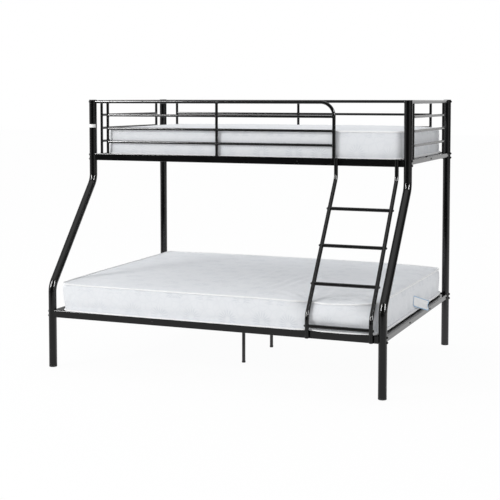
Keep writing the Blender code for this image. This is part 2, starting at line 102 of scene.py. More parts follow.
def middle(node):
    """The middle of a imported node's box."""
    low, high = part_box(node)
    return (low + high) / 2


def low_of(node):
    """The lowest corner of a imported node's box."""
    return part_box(node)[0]


def high_of(node):
    """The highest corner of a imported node's box."""
    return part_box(node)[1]


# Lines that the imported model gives
half_length = middle("post_cap_front_right").x
rear_line = middle("post_cap_rear_left").y
upper_front_line = middle("post_cap_front_left").y
lower_front_line = middle("post_foot_front_left").y
post_radius = (high_of("post_cap_rear_left").y - low_of("post_cap_rear_left").y) / 2
post_top = high_of("post_rear_left").z
post_bottom = low_of("post_rear_left").z
overall_top = high_of("post_cap_rear_left").z
foot_height = low_of("post_rear_left").z
top_tube_height = middle("end_top_tube_left").z
guard_foot = low_of("guard_rear").z
grille_foot = low_of("end_grille_left").z
front_guard_leg = high_of("guard_front").x - top_tube_radius
stile_radius = (high_of("ladder_stile_left").x - low_of("ladder_stile_left").x) / 2
stile_top = high_of("ladder_stile_left").z
stile_bottom = low_of("ladder_stile_left").z
stile_lines = (middle("ladder_stile_left").x, middle("ladder_stile_right").x)
upper_stile_line = high_of("ladder_stile_left").y - stile_radius
lower_stile_line = low_of("ladder_stile_left").y + stile_radius
upper_middle_line = (upper_front_line + rear_line) / 2
thin_rail_heights = [top_tube_height - drop for drop in thin_rail_drops]

# Camera
camera_place = (2.542, -6.336, 1.528)
camera_tilt = 86.41
camera_turn = 22.20
sensor_width = 36
focal_pixels = 1166
picture_pixels = 500
axis_above_middle = 80


def placed(name, data):
    """A new object in the scene."""
    item = bpy.data.objects.new(name, data)
    bpy.context.scene.collection.objects.link(item)
    return item


def meshed(name, points, faces, material=None):
    """A new mesh."""
    mesh = bpy.data.meshes.new(name)
    mesh.from_pydata(points, [], faces)
    if material:
        mesh.materials.append(material)
    return mesh


def smooth(mesh, sharp):
    """Shade a mesh smooth up to an angle in degrees."""
    mesh.shade_smooth()
    mesh.set_sharp_from_angle(angle=math.radians(sharp))


def make_camera():
    """The camera that the photograph was taken with."""
    data = bpy.data.cameras.new("camera")
    data.sensor_width = sensor_width
    data.lens = focal_pixels / picture_pixels * sensor_width
    data.shift_y = -axis_above_middle / picture_pixels
    data.clip_end = 60
    camera = placed("camera", data)
    camera.location = camera_place
    camera.rotation_euler = (math.radians(camera_tilt), 0, math.radians(camera_turn))
    bpy.context.scene.camera = camera


make_camera()
bpy.context.scene.view_settings.view_transform = "Standard"


# Materials: colours, scales of noise, and heights of bumps
paint_dark, paint_light = (0.0018, 0.0018, 0.0019), (0.0036, 0.0036, 0.0038)
oxide_dark, oxide_light = (0.003, 0.003, 0.003), (0.008, 0.0075, 0.007)
plastic_dark, plastic_light = (0.004, 0.004, 0.0042), (0.009, 0.009, 0.0092)
film_shade, film_white = (0.86, 0.86, 0.85), (0.90, 0.90, 0.89)
cloud_scale, cloud_share, speck_scale, smear_scale = 9, 0.6, 900, 26
peel_scale, peel_height = 110, 0.0006
fine_peel_scale, fine_peel_height = 520, 0.0004
grain_scale, grain_height = 1600, 0.0002


class Tree:
    """A short way to write the nodes of a material or a world, from an empty tree."""

    def __init__(self, holder):
        holder.use_nodes = True
        self.tree = holder.node_tree
        self.tree.nodes.clear()

    def add(self, kind, settings=None, **inputs):
        """A node with its settings, and its inputs set or linked by name."""
        node = self.tree.nodes.new(kind)
        for key, value in (settings or {}).items():
            setattr(node, key, value)
        for key, value in inputs.items():
            self.put(node, key, value)
        return node

    def put(self, node, key, value):
        """Set or link one input, named or numbered as i0, i1."""
        name = int(key[1:]) if key[0] == "i" and key[1:].isdigit() else key.replace("_", " ")
        socket = node.inputs[name]
        if isinstance(value, bpy.types.NodeSocket):
            self.tree.links.new(value, socket)
        else:
            socket.default_value = value

    def math(self, operation, first, *others):
        """A sum of one or more values, taken in turn."""
        for other in others or (None,):
            node = self.add("ShaderNodeMath", {"operation": operation}, i0=first)
            if other is not None:
                self.put(node, "i1", other)
            first = node.outputs[0]
        return first

    def mixed(self, share, first, second):
        """A mix of two shaders."""
        node = self.add("ShaderNodeMixShader", None, i0=share, i1=first.outputs[0], i2=second.outputs[0])
        return node.outputs[0]


class Nodes(Tree):
    """A material with one shader for paint, plastic or cloth."""

    def __init__(self, name):
        self.material = bpy.data.materials.new(name)
        super().__init__(self.material)
        self.shader = self.add("ShaderNodeBsdfPrincipled")
        self.add("ShaderNodeOutputMaterial", None, Surface=self.shader.outputs[0])

    def shade(self, **inputs):
        """Set or link the shader's inputs."""
        for key, value in inputs.items():
            self.put(self.shader, key, value)

    def ramp(self, value, stops):
        """A colour ramp of (place, colour) stops."""
        node = self.add("ShaderNodeValToRGB", None, Fac=value)
        elements = node.color_ramp.elements
        while len(elements) < len(stops):
            elements.new(1)
        for element, (place, colour) in zip(elements, stops):
            element.position = place
            element.color = (*colour, 1)
        return node.outputs["Color"]

    def noise(self, vector, scale, detail=3, roughness=0.55):
        """A noise value from 0 to 1."""
        node = self.add(
            "ShaderNodeTexNoise", None, Vector=vector, Scale=scale, Detail=detail, Roughness=roughness
        )
        return node.outputs["Fac"]

    def spread(self, value, low, high, start=0.0, end=1.0, kind="LINEAR"):
        """A value that goes from low to high while another goes from start to end."""
        node = self.add("ShaderNodeMapRange", {"interpolation_type": kind}, Value=value)
        for key, number in (("From_Min", start), ("From_Max", end), ("To_Min", low), ("To_Max", high)):
            self.put(node, key, number)
        return node.outputs["Result"]

    def bump(self, height, strength, distance, normal=None):
        """A bump from a height."""
        node = self.add("ShaderNodeBump", None, Height=height, Strength=strength, Distance=distance)
        if normal is not None:
            self.put(node, "Normal", normal)
        return node.outputs["Normal"]

    def place(self):
        """The place on the object in metres."""
        return self.add("ShaderNodeTexCoord").outputs["Object"]

    def cloth(self):
        """The place on the laid-out cloth in metres."""
        return self.add("ShaderNodeUVMap", {"uv_map": "cloth"}).outputs["UV"]

    def parts(self, place):
        """The first two parts of a place."""
        return self.add("ShaderNodeSeparateXYZ", None, Vector=place).outputs[:2]

    def threads(self, place, direction, scale):
        """Fine threads that run square to a direction."""
        settings = {"wave_type": "BANDS", "bands_direction": direction}
        return self.add("ShaderNodeTexWave", settings, Vector=place, Scale=scale).outputs["Fac"]


def powder_coat(name, dark, light, smooth, rough, peel):
    """Black powder coat on steel: orange peel, dust and small changes of gloss."""
    made = Nodes(name)
    place = made.place()
    dust = made.math(
        "ADD",
        made.math("MULTIPLY", made.noise(place, cloud_scale, 4), cloud_share),
        made.math("MULTIPLY", made.noise(place, speck_scale, 2), 1 - cloud_share),
    )
    fine = made.bump(made.noise(place, fine_peel_scale, 3), peel, fine_peel_height)
    made.shade(
        Base_Color=made.ramp(dust, ((0.35, dark), (0.65, light))),
        Roughness=made.spread(made.noise(place, smear_scale, 5, 0.65), smooth, rough),
        Normal=made.bump(made.noise(place, peel_scale, 2), peel, peel_height, fine),
        IOR=1.5,
    )
    return made.material


def moulded(name):
    """Black moulded plastic with a fine grain."""
    made = Nodes(name)
    place = made.place()
    grain = made.add("ShaderNodeTexVoronoi", {"feature": "F1"}, Vector=place, Scale=grain_scale)
    made.shade(
        Base_Color=made.ramp(made.noise(place, 40), ((0.3, plastic_dark), (0.7, plastic_light))),
        Roughness=made.spread(made.noise(place, 60), 0.38, 0.58),
        Normal=made.bump(grain.outputs["Distance"], 0.25, grain_height),
    )
    return made.material


def plain_band():
    """White film with a faint gloss."""
    made = Nodes("white_film")
    cloud = made.noise(made.place(), 70)
    made.shade(
        Base_Color=made.ramp(cloud, ((0.3, film_shade), (0.7, film_white))),
        Roughness=made.spread(cloud, 0.35, 0.50),
    )
    return made.material


coat = powder_coat("gloss_black_powder_coat", paint_dark, paint_light, smooth=0.09, rough=0.17, peel=0.035)
bolt_coat = powder_coat("black_oxide_bolts", oxide_dark, oxide_light, smooth=0.20, rough=0.36, peel=0.06)
plastic = moulded("black_moulded_plastic")
film = plain_band()


# Mesh tools
class Shell:
    """Closed forms gathered into one mesh."""

    def __init__(self):
        self.points = []
        self.faces = []
        self.count = 0

    def add(self, points, faces):
        """Add one form."""
        points = np.asarray(points, float).reshape(-1, 3)
        self.points.append(points)
        self.faces += [tuple(index + self.count for index in face) for face in faces]
        self.count += len(points)

    def finish(self, name, material, body="bed_frame", nodes=(), sharp=35):
        """Make the object, and say what it rides on and what it stands for."""
        mesh = meshed(name, np.concatenate(self.points).tolist(), self.faces, material)
        mesh.validate()
        smooth(mesh, sharp)
        piece = placed(name, mesh)
        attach(piece, body)
        if nodes:
            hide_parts(*nodes)
        return piece

    def finish_steel(self, node, kind):
        """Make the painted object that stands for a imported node."""
        self.finish(f"{node}_{kind}", coat, nodes=(node,))

    def finish_plastic(self, node, kind):
        """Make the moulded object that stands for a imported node."""
        self.finish(f"{node}_{kind}", plastic, nodes=(node,))


def skin(rings, closed=False):
    """Points and faces of a skin over rings of equally many points, closed round or with capped ends."""
    rings = np.asarray(rings, float)
    count, sides = rings.shape[:2]
    faces = []
    for ring in range(count if closed else count - 1):
        here = ring * sides
        there = (ring + 1) % count * sides
        for side in range(sides):
            after = (side + 1) % sides
            faces.append((here + side, here + after, there + after, there + side))
    if not closed:
        faces.append(tuple(reversed(range(sides))))
        faces.append(tuple((count - 1) * sides + side for side in range(sides)))
    return rings.reshape(-1, 3), faces


def unit(vector):
    """A vector of length one."""
    vector = np.asarray(vector, float)
    return vector / np.linalg.norm(vector)


def across_of(direction):
    """Two directions square to a direction and to each other."""
    helper = np.array((0.0, 0.0, 1.0)) if abs(direction[2]) < 0.9 else np.array((1.0, 0.0, 0.0))
    first = unit(np.cross(direction, helper))
    return first, np.cross(direction, first)


def laid(outline, first, second):
    """An outline's offsets laid along two directions."""
    return outline[:, :1] * first + outline[:, 1:] * second


def circle(radius, sides):
    """Offsets round a circle."""
    angles = np.linspace(0, 2 * math.pi, sides, endpoint=False)
    return np.stack((np.cos(angles), np.sin(angles)), 1) * radius


def rounded_box(width, height, corner, steps=box_corner_steps):
    """Offsets round a box with round corners."""
    points = []
    for quarter in range(4):
        sign_x = 1 if quarter in (0, 3) else -1
        sign_y = 1 if quarter in (0, 1) else -1
        for step in range(-1, steps + 2):
            share = min(max(step / steps, 0), 1)
            angle = math.pi / 2 * (quarter + share)
            spot = np.array((sign_x * (width / 2 - corner), sign_y * (height / 2 - corner)))
            spot += corner * np.array((math.cos(angle), math.sin(angle)))
            if step < 0:
                spot -= corner_hold * np.array((-math.sin(angle), math.cos(angle)))
            if step > steps:
                spot += corner_hold * np.array((-math.sin(angle), math.cos(angle)))
            points.append(spot)
    return np.array(points)


def reach(offsets, direction, host_axis, host_radius):
    """How far along a direction each offset line goes to leave the host tube through the start."""
    host = unit(host_axis)
    going = direction - host * (direction @ host)
    off = offsets - np.outer(offsets @ host, host)
    a = going @ going
    b = off @ going
    c = np.einsum("ij,ij->i", off, off) - host_radius**2
    return (-b + np.sqrt(np.maximum(b * b - a * c, 0))) / a


def bent(corners, radius, steps=bend_steps):
    """Straight runs between the corners, each inner corner rounded by an arc."""
    path = [Vector(corners[0])]
    for before, corner, after in zip(corners, corners[1:], corners[2:]):
        before, corner, after = Vector(before), Vector(corner), Vector(after)
        coming = (corner - before).normalized()
        going = (after - corner).normalized()
        turn = coming.angle(going)
        start = corner - coming * radius * math.tan(turn / 2)
        axis = coming.cross(going).normalized()
        centre = start + axis.cross(coming) * radius
        for step in range(steps + 1):
            spin = Matrix.Rotation(turn * step / steps, 3, axis)
            path.append(centre + spin @ (start - centre))
    path.append(Vector(corners[-1]))
    return np.array([tuple(spot) for spot in path])


def swept(path, outline, start_host=None, end_host=None):
    """Rings of an outline carried along a path, its ends fitted to host tubes."""
    path = np.asarray(path, float)
    runs = np.diff(path, axis=0)
    runs /= np.linalg.norm(runs, axis=1)[:, None]
    tangents = np.concatenate((runs[:1], runs[:-1] + runs[1:], runs[-1:]))
    tangents /= np.linalg.norm(tangents, axis=1)[:, None]
    first, second = across_of(tangents[0])
    rings = []
    for spot, tangent in zip(path, tangents):
        first = unit(first - tangent * (first @ tangent))
        second = np.cross(tangent, first)
        rings.append(spot + laid(outline, first, second))
    if start_host is not None:
        offsets = rings[0] - path[0]
        axis, radius = start_host
        rings[0] = rings[0] + np.outer(reach(offsets, tangents[0], axis, radius - sunk), tangents[0])
    if end_host is not None:
        offsets = rings[-1] - path[-1]
        axis, radius = end_host
        rings[-1] = rings[-1] - np.outer(reach(offsets, -tangents[-1], axis, radius - sunk), tangents[-1])
    return rings


def add_tube(shell, path, radius, sides=tube_sides, start_host=None, end_host=None):
    """A round tube along a path."""
    rings = swept(path, circle(radius, sides), start_host, end_host)
    shell.add(*skin(rings))


def loop_tangents(line):
    """Directions along a closed line."""
    tangents = np.roll(line, -1, 0) - np.roll(line, 1, 0)
    return tangents / np.linalg.norm(tangents, axis=1)[:, None]


def add_cord(shell, line, out, side, size, sides, moved=None):
    """A closed cord of changing size, from the two directions across it at each point."""
    turn = np.linspace(0, 2 * math.pi, sides, endpoint=False)[:, None]
    size = size[:, None, None]
    rings = line[:, None] + out[:, None] * (np.cos(turn) * size) + side[:, None] * (np.sin(turn) * size)
    points, faces = skin(rings, closed=True)
    shell.add(moved(points) if moved else points, faces)


def bead_sizes(count, phase):
    """The rippled radius of a weld bead along its way round."""
    sweep = np.linspace(0, 2 * math.pi, count, endpoint=False)
    return bead_radius + bead_ripple * np.sin(sweep * bead_ripples + phase)


def add_bead(shell, spot, direction, outline, host_axis, host_radius, phase):
    """A weld bead round the joint of a tube, leaving along a direction, with its host tube."""
    direction = unit(direction)
    offsets = laid(outline, *across_of(direction))
    far = reach(offsets, direction, host_axis, host_radius)
    line = np.asarray(spot, float) + offsets + np.outer(far, direction)
    tangents = loop_tangents(line)
    out = offsets - tangents * np.einsum("ij,ij->i", offsets, tangents)[:, None]
    out /= np.linalg.norm(out, axis=1)[:, None]
    add_cord(shell, line, out, np.cross(tangents, out), bead_sizes(len(line), phase), bead_sides)


def add_turned(shell, profile, place, axis=(0, 0, 1), sides=turn_sides):
    """A form turned about an axis from (radius, height) points; both ends lie on the axis."""
    axis = unit(axis)
    directions = across_of(axis)
    start = np.asarray(place, float)
    ring = circle(1, sides)
    rings = [start + axis * height + laid(ring * radius, *directions) for radius, height in profile]
    shell.add(*skin(rings))


def arc(middle_radius, middle_height, rounding, start, end, steps=6):
    """Points of an arc of a profile, between two angles in degrees."""
    angles = np.radians(np.linspace(start, end, steps + 1))
    return [
        (middle_radius + rounding * math.cos(angle), middle_height + rounding * math.sin(angle))
        for angle in angles
    ]


def add_bolt(shell, place, axis, radius, height, skirt):
    """A domed bolt head with a hexagon socket."""
    axis = unit(axis)
    directions = across_of(axis)
    round_ring = circle(1, bolt_sides)
    angles = np.linspace(0, 2 * math.pi, bolt_sides, endpoint=False)
    sector = math.pi / 3
    hexagon = math.cos(sector / 2) / np.cos(np.mod(angles, sector) - sector / 2)
    hex_ring = round_ring * hexagon[:, None]
    hex_radius = radius * hex_share
    dome = height * dome_foot
    profile = [(round_ring, radius, -skirt), (round_ring, radius, dome)]
    for angle in np.radians(dome_angles):
        size = radius * (math.cos(angle) * (1 - dome_flat) + dome_flat)
        profile.append((round_ring, size, dome + height * dome_rise * math.sin(angle)))
    profile += [
        (round_ring, hex_radius * hex_rim, height),
        (hex_ring, hex_radius, height - hex_edge),
        (hex_ring, hex_radius * hex_taper, height * hex_floor),
    ]
    start = np.asarray(place, float)
    rings = [start + axis * rise + laid(ring * size, *directions) for ring, size, rise in profile]
    shell.add(*skin(rings))


up = np.array((0.0, 0.0, 1.0))
along = np.array((1.0, 0.0, 0.0))
deep = np.array((0.0, 1.0, 0.0))
post_host = (up, post_radius)
sides_of_bed = ((-1, "left"), (1, "right"))

# Posts, with their caps and feet
wall = 0.0015
axis_gap = 0.0005
cap_edge = 0.0014
cap_spigot = 0.0012
cap_lip = 0.0003
cap_dish_shares = (0.55, 0.52)
cap_dish_depths = (0.0006, 0.0005)
foot_start = -70
post_foot_flat = 0.0045
post_foot_rounding = 0.0032
post_foot_rim = (0.72, 0.0004)
leg_foot_flat = 0.005
leg_foot_rounding = 0.0035
leg_foot_rim = (0.0008, 0.0006)


def post_path(side, front):
    """The middle line of a post from bottom to top."""
    across = side * half_length
    if not front:
        return np.array(((across, rear_line, post_bottom), (across, rear_line, post_top)))
    corners = (
        (across, lower_front_line, post_bottom),
        (across, lower_front_line, post_bend_low),
        (across, upper_front_line, post_bend_high),
        (across, upper_front_line, post_top),
    )
    return bent(corners, post_bend_radius)


def foot_profile(radius, flat, rounding, *rim):
    """The outline of a foot: a flat base, a round edge and a rim."""
    edge = arc(radius - rounding, rounding, rounding, foot_start, 0)
    return [(axis_gap, 0.0), (radius - flat, 0.0), *edge, *rim]


def make_post(side, front, place_name):
    """One post with its cap and foot."""
    across = side * half_length
    shell = Shell()
    add_tube(shell, post_path(side, front), post_radius, post_sides)
    shell.finish_steel("post_" + place_name, "tube")

    dish_radii = [post_radius * share for share in cap_dish_shares]
    profile = [
        (post_radius - cap_spigot, post_top),
        (post_radius, post_top + cap_lip),
        *arc(post_radius - cap_edge, overall_top - cap_edge, cap_edge, 0, 90),
        (dish_radii[0], overall_top),
        (dish_radii[1], overall_top - cap_dish_depths[0]),
        (axis_gap, overall_top - cap_dish_depths[1]),
    ]
    cap = Shell()
    add_turned(cap, profile, (across, upper_front_line if front else rear_line, 0))
    cap.finish_plastic("post_cap_" + place_name, "disc")

    rim_share, rim_inset = post_foot_rim
    rim = ((post_radius, foot_height * rim_share), (post_radius - rim_inset, foot_height))
    profile = foot_profile(post_radius, post_foot_flat, post_foot_rounding, *rim)
    foot = Shell()
    add_turned(foot, profile, (across, lower_front_line if front else rear_line, 0))
    foot.finish_plastic("post_foot_" + place_name, "plug")


for side, side_name in sides_of_bed:
    make_post(side, True, "front_" + side_name)
    make_post(side, False, "rear_" + side_name)


# White film round one post
band_heights = (1.3456, 1.3652)
band_turns = (-200, -18.5)
band_thickness = 0.00018
band_steps = 60


def make_band():
    """A strip of plain white film round the front left post."""
    angles = np.radians(np.linspace(*band_turns, band_steps + 1))
    out = np.stack((np.cos(angles), np.sin(angles)), 1)
    spot = np.array((-half_length, upper_front_line))
    rings = []
    for radius, height in (
        (post_radius - band_thickness, band_heights[0]),
        (post_radius + band_thickness, band_heights[0]),
        (post_radius + band_thickness, band_heights[1]),
        (post_radius - band_thickness, band_heights[1]),
    ):
        rings.append(np.column_stack((spot + out * radius, np.full(len(out), height))))
    shell = Shell()
    shell.add(*skin(np.swapaxes(rings, 0, 1)))
    shell.finish("post_band", film)


make_band()


# Side rails
side_rail_rows = (
    ("upper_front", upper_front_line, 1),
    ("upper_rear", rear_line, -1),
    ("lower_front", lower_front_line, 1),
    ("lower_rear", rear_line, -1),
)
ledge_end_room = 0.042
ledge_share = 0.98
ledge_corner = 0.0007


def add_box_rail(shell, outline, run, ends):
    """A box tube from post to post, given by the two points on the posts' middle lines."""
    offsets = laid(outline, *across_of(run))
    inner = np.outer(reach(offsets, run, up, post_radius - sunk), run)
    start, end = np.asarray(ends, float)
    shell.add(*skin([start + offsets + inner, end + offsets - inner]))


def make_side_rail(row, line, inward):
    """A box tube between two posts with a ledge on its inner side."""
    node = "side_rail_" + row
    low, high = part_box(node)
    centre = (high.z + low.z) / 2
    outline = rounded_box(2 * rail_half_width, high.z - low.z, rail_corner)
    shell = Shell()
    add_box_rail(shell, outline, along, [(side * half_length, line, centre) for side in (-1, 1)])
    ledge_high = low_of("slat_deck_" + row.split("_")[0]).z
    inside = line + inward * (rail_half_width - wall / 2)
    outside = line + inward * max(abs(low.y - line), abs(high.y - line))
    flat = laid(rounded_box(abs(outside - inside), ledge_thickness * ledge_share, ledge_corner, 2), deep, up)
    flat = flat + (0, (inside + outside) / 2, ledge_high - ledge_thickness / 2)
    half_run = half_length - ledge_end_room
    shell.add(*skin([flat + along * end * half_run for end in (-1, 1)]))
    shell.finish_steel(node, "tube")


for row, line, inward in side_rail_rows:
    make_side_rail(row, line, inward)


# End rails
def make_end_rail(node, side, front_line):
    """A box tube between the posts of one end, with its weld beads."""
    low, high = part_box(node)
    sizes = (high.x - low.x, high.z - low.z)
    ends = [(side * half_length, line, (high.z + low.z) / 2) for line in (front_line, rear_line)]
    shell = Shell()
    add_box_rail(shell, rounded_box(*sizes, rail_corner), deep, ends)
    shell.finish_steel(node, "tube")
    dense = rounded_box(*sizes, rail_corner, 5)
    for end, turn in zip(ends, (1, -1)):
        add_bead(beads, end, turn * deep, dense, up, post_radius, end[1])


beads = Shell()
for side, side_name in sides_of_bed:
    make_end_rail("end_rail_upper_" + side_name, side, upper_front_line)
    make_end_rail("end_rail_lower_" + side_name, side, lower_front_line)

welded_radii = (top_tube_radius, bar_radius, thin_rail_radius, rung_radius)
bead_outlines = {radius: circle(radius, bead_steps) for radius in welded_radii}


def weld(spot, direction, radius, host_axis, host_radius):
    """A weld bead at one tube joint."""
    add_bead(beads, spot, direction, bead_outlines[radius], host_axis, host_radius, spot[0] + spot[1])


def add_welded(shell, start, end, direction, radius, start_host, end_host):
    """A tube between two host tubes, with a weld bead at each end."""
    add_tube(shell, (start, end), radius, start_host=start_host, end_host=end_host)
    weld(start, direction, radius, *start_host)
    weld(end, -direction, radius, *end_host)


def add_bar(shell, across, line, bar_foot, run):
    """An upright bar from a top tube down to a rail, welded at both ends."""
    top = np.array((across, line, top_tube_height))
    foot = np.array((across, line, bar_foot))
    host = (run, top_tube_radius)
    add_tube(shell, (top, foot), bar_radius, start_host=host)
    weld(top, -up, bar_radius, *host)
    out = np.column_stack((circle(1, bead_steps), np.zeros(bead_steps)))
    side = np.tile(up, (bead_steps, 1))
    add_cord(beads, foot + out * bar_radius, out, side, bead_sizes(bead_steps, foot[0]), bead_sides)


def make_end_top_tube(side, side_name):
    """The tube between the tops of the two posts of one end."""
    lines = (upper_front_line, rear_line)
    start, end = (np.array((side * half_length, line, top_tube_height)) for line in lines)
    shell = Shell()
    add_welded(shell, start, end, deep, top_tube_radius, post_host, post_host)
    shell.finish_steel("end_top_tube_" + side_name, "round")


def make_end_grille(side, side_name):
    """Two upright bars and three thin rails under the end top tube."""
    across = side * half_length
    half_gap = (rear_line - upper_front_line) / 2 - grille_bar_setback
    shell = Shell()
    lines = (upper_middle_line - half_gap, upper_middle_line + half_gap)
    for line in lines:
        add_bar(shell, across, line, grille_foot, deep)
    host = (up, bar_radius)
    for height in thin_rail_heights:
        start, end = (np.array((across, line, height)) for line in lines)
        add_welded(shell, start, end, deep, thin_rail_radius, host, host)
    shell.finish_steel("end_grille_" + side_name, "bars")


for side, side_name in sides_of_bed:
    make_end_top_tube(side, side_name)
    make_end_grille(side, side_name)


# Guards
def add_guard_bars(shell, line, bar_places, stops):
    """Upright bars under a guard's top tube, and thin rails between all the uprights."""
    for across in bar_places:
        add_bar(shell, across, line, guard_foot, along)
    for (left, left_radius), (right, right_radius) in zip(stops, stops[1:]):
        hosts = ((up, left_radius), (up, right_radius))
        for height in thin_rail_heights:
            start, end = (np.array((across, line, height)) for across in (left, right))
            add_welded(shell, start, end, along, thin_rail_radius, *hosts)


def make_front_guard():
    """A hoop that leaves the left post, turns down and stands on the side rail."""
    start = -half_length
    corners = (
        (start, upper_front_line, top_tube_height),
        (front_guard_leg, upper_front_line, top_tube_height),
        (front_guard_leg, upper_front_line, guard_foot),
    )
    shell = Shell()
    add_tube(shell, bent(corners, guard_corner_radius), top_tube_radius, start_host=post_host)
    bars = [start + setback for setback in front_guard_bars]
    stops = [(bars[0], bar_radius), (bars[1], bar_radius), (front_guard_leg, top_tube_radius)]
    add_guard_bars(shell, upper_front_line, bars, stops)
    shell.finish_steel("guard_front", "tubes")


def make_rear_guard():
    """A straight guard between the rear posts."""
    end_bar = half_length - rear_bar_setback
    ends = [np.array((side * half_length, rear_line, top_tube_height)) for side in (-1, 1)]
    shell = Shell()
    add_tube(shell, ends, top_tube_radius, start_host=post_host, end_host=post_host)
    bars = (-end_bar, 0, end_bar)
    add_guard_bars(shell, rear_line, bars, [(across, bar_radius) for across in bars])
    shell.finish_steel("guard_rear", "tubes")


make_front_guard()
make_rear_guard()


# Ladder
def stile_path(across):
    """The middle line of a stile from bottom to top."""
    corners = (
        (across, lower_stile_line, stile_bottom),
        (across, lower_stile_line, stile_bend_low),
        (across, upper_stile_line, stile_bend_high),
        (across, upper_stile_line, stile_top),
    )
    return bent(corners, stile_bend_radius)


def stile_direction(height):
    """Which way a stile runs at a height."""
    if stile_bend_low < height < stile_bend_high:
        return unit((0, upper_stile_line - lower_stile_line, stile_bend_high - stile_bend_low))
    return up


ladder_sides = 36
rung_bolt_skirt = 0.00196
plug_depth = 0.001
plug_inset = 0.0022
plug_rise = 0.0004
plug_rounding = 0.0014
plug_crowns = (0.0021, 0.0018)
rung_count = 4

bolts = Shell()
for across, side_name in zip(stile_lines, ("left", "right")):
    stile = Shell()
    add_tube(stile, stile_path(across), stile_radius, ladder_sides)
    stile.finish_steel("ladder_stile_" + side_name, "tube")

for number in range(1, rung_count + 1):
    node = f"ladder_rung_{number}"
    spot = middle(node)
    ends = [np.array((across, spot.y, spot.z)) for across in stile_lines]
    host = (stile_direction(spot.z), stile_radius)
    rung = Shell()
    add_tube(rung, ends, rung_radius, start_host=host, end_host=host)
    rung.finish_steel(node, "tube")
    for end, turn in zip(ends, (-along, along)):
        place = end + turn * stile_radius
        add_bolt(bolts, place, turn, small_bolt_radius, small_bolt_height, rung_bolt_skirt)

plugs = Shell()
plug_ends = (
    (upper_stile_line, up, stile_top, plug_crowns[0]),
    (lower_stile_line, -up, -stile_bottom, plug_crowns[1]),
)
for across in stile_lines:
    for line, axis, height, crown in plug_ends:
        profile = [(stile_radius - wall, height - plug_depth)]
        profile += arc(stile_radius - plug_inset, height + plug_rise, plug_rounding, 0, 90)
        profile += [(axis_gap, height + crown)]
        add_turned(plugs, profile, (across, line, 0), axis, ladder_sides)
plugs.finish("ladder_stile_plugs", plastic)


# Centre legs
def across_radius(node):
    """Half the width of a packed round node."""
    return (high_of(node).x - low_of(node).x) / 2


for depth_name in ("front", "rear"):
    node = "centre_leg_" + depth_name
    spot, rim = middle(node), low_of(node).z
    leg = Shell()
    add_tube(leg, ((spot.x, spot.y, rim), (spot.x, spot.y, high_of(node).z)), across_radius(node))
    leg.finish_steel(node, "tube")
    node = "leg_foot_" + depth_name
    radius = across_radius(node)
    rim_drop, rim_inset = leg_foot_rim
    rims = ((radius, rim - rim_drop), (radius - rim_inset, rim))
    profile = foot_profile(radius, leg_foot_flat, leg_foot_rounding, *rims)
    foot = Shell()
    add_turned(foot, profile, (spot.x, spot.y, 0), sides=ladder_sides)
    foot.finish_plastic(node, "plug")


# Bolts
rail_bolt_nodes = [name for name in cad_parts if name.startswith("rail_bolt_")]
rail_bolts = Shell()
for node in rail_bolt_nodes:
    spot = middle(node)
    side = 1 if spot.x > 0 else -1
    place = (side * (half_length + post_radius), spot.y, spot.z)
    add_bolt(rail_bolts, place, side * along, rail_bolt_radius, rail_bolt_height, rail_bolt_skirt)
rail_bolts.finish("rail_bolt_heads", bolt_coat, nodes=rail_bolt_nodes)

# Heads of the bolts that hold the decks' beams, the slats and the guards: radius, height and skirt
end_rail_dot = (0.0052, 0.0030, 0.0005)
side_rail_dot = (0.0036, 0.0018, 0.0005)
top_dot = (0.0060, 0.0045, 0.0004)
end_rail_dot_lines = {"lower": (-0.210, 0.248), "upper": (upper_middle_line,)}
side_rail_dot_places = {"upper": (0.337,), "lower": (-0.330, 0.371)}
top_dot_line = 0.194
small_bolt = (small_bolt_radius, small_bolt_height, rail_bolt_skirt)
for side in (-1, 1):
    for row, lines in end_rail_dot_lines.items():
        low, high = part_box(f"end_rail_{row}_right")
        face = max(abs(low.x), abs(high.x))
        for line in lines:
            add_bolt(bolts, (side * face, line, (low.z + high.z) / 2), side * along, *end_rail_dot)
for row, line, inward in side_rail_rows:
    spot = middle("side_rail_" + row)
    for across in side_rail_dot_places[row.split("_")[0]]:
        place = (across, line - inward * rail_half_width, spot.z)
        add_bolt(bolts, place, -inward * deep, *side_rail_dot)
for side, line in ((-1, upper_front_line), (-1, rear_line), (1, rear_line)):
    place = (side * (half_length + post_radius), line, top_tube_height)
    add_bolt(bolts, place, side * along, *small_bolt)
for side in (-1, 1):
    top = high_of("end_rail_upper_right").z
    add_bolt(bolts, (side * half_length, top_dot_line, top), up, *top_dot)
bolts.finish("small_bolt_heads", bolt_coat)
beads.finish("weld_beads", coat, sharp=80)

# Flanges of the lower end rails, under the mattress
flange_reach = 0.105
flange_drop = 0.0012
flange_thickness = 0.0015
flange_corner = 0.0006
for side, side_name in sides_of_bed:
    low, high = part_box("end_rail_lower_" + side_name)
    inside = min(abs(low.x), abs(high.x)) + sunk
    outline = rounded_box(flange_reach, flange_thickness, flange_corner, 2)
    top = high.z - flange_drop - flange_thickness / 2
    spot = np.array((side * (inside - flange_reach / 2), 0, top))
    flat = laid(outline, along, up)
    flange = Shell()
    flange.add(*skin([spot + flat + deep * line for line in (high.y, low.y)]))
    flange.finish("end_rail_flange_" + side_name, coat)

# Decks and beams
deck_bevel = 0.0006
for name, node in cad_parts.items():
    if name.startswith(("slat_deck", "centre_beam")):
        node.data.materials.clear()
        node.data.materials.append(coat)
        edge = node.modifiers.new("soft_edges", "BEVEL")
        edge.width = deck_bevel
        edge.segments = 2
        edge.limit_method = "ANGLE"

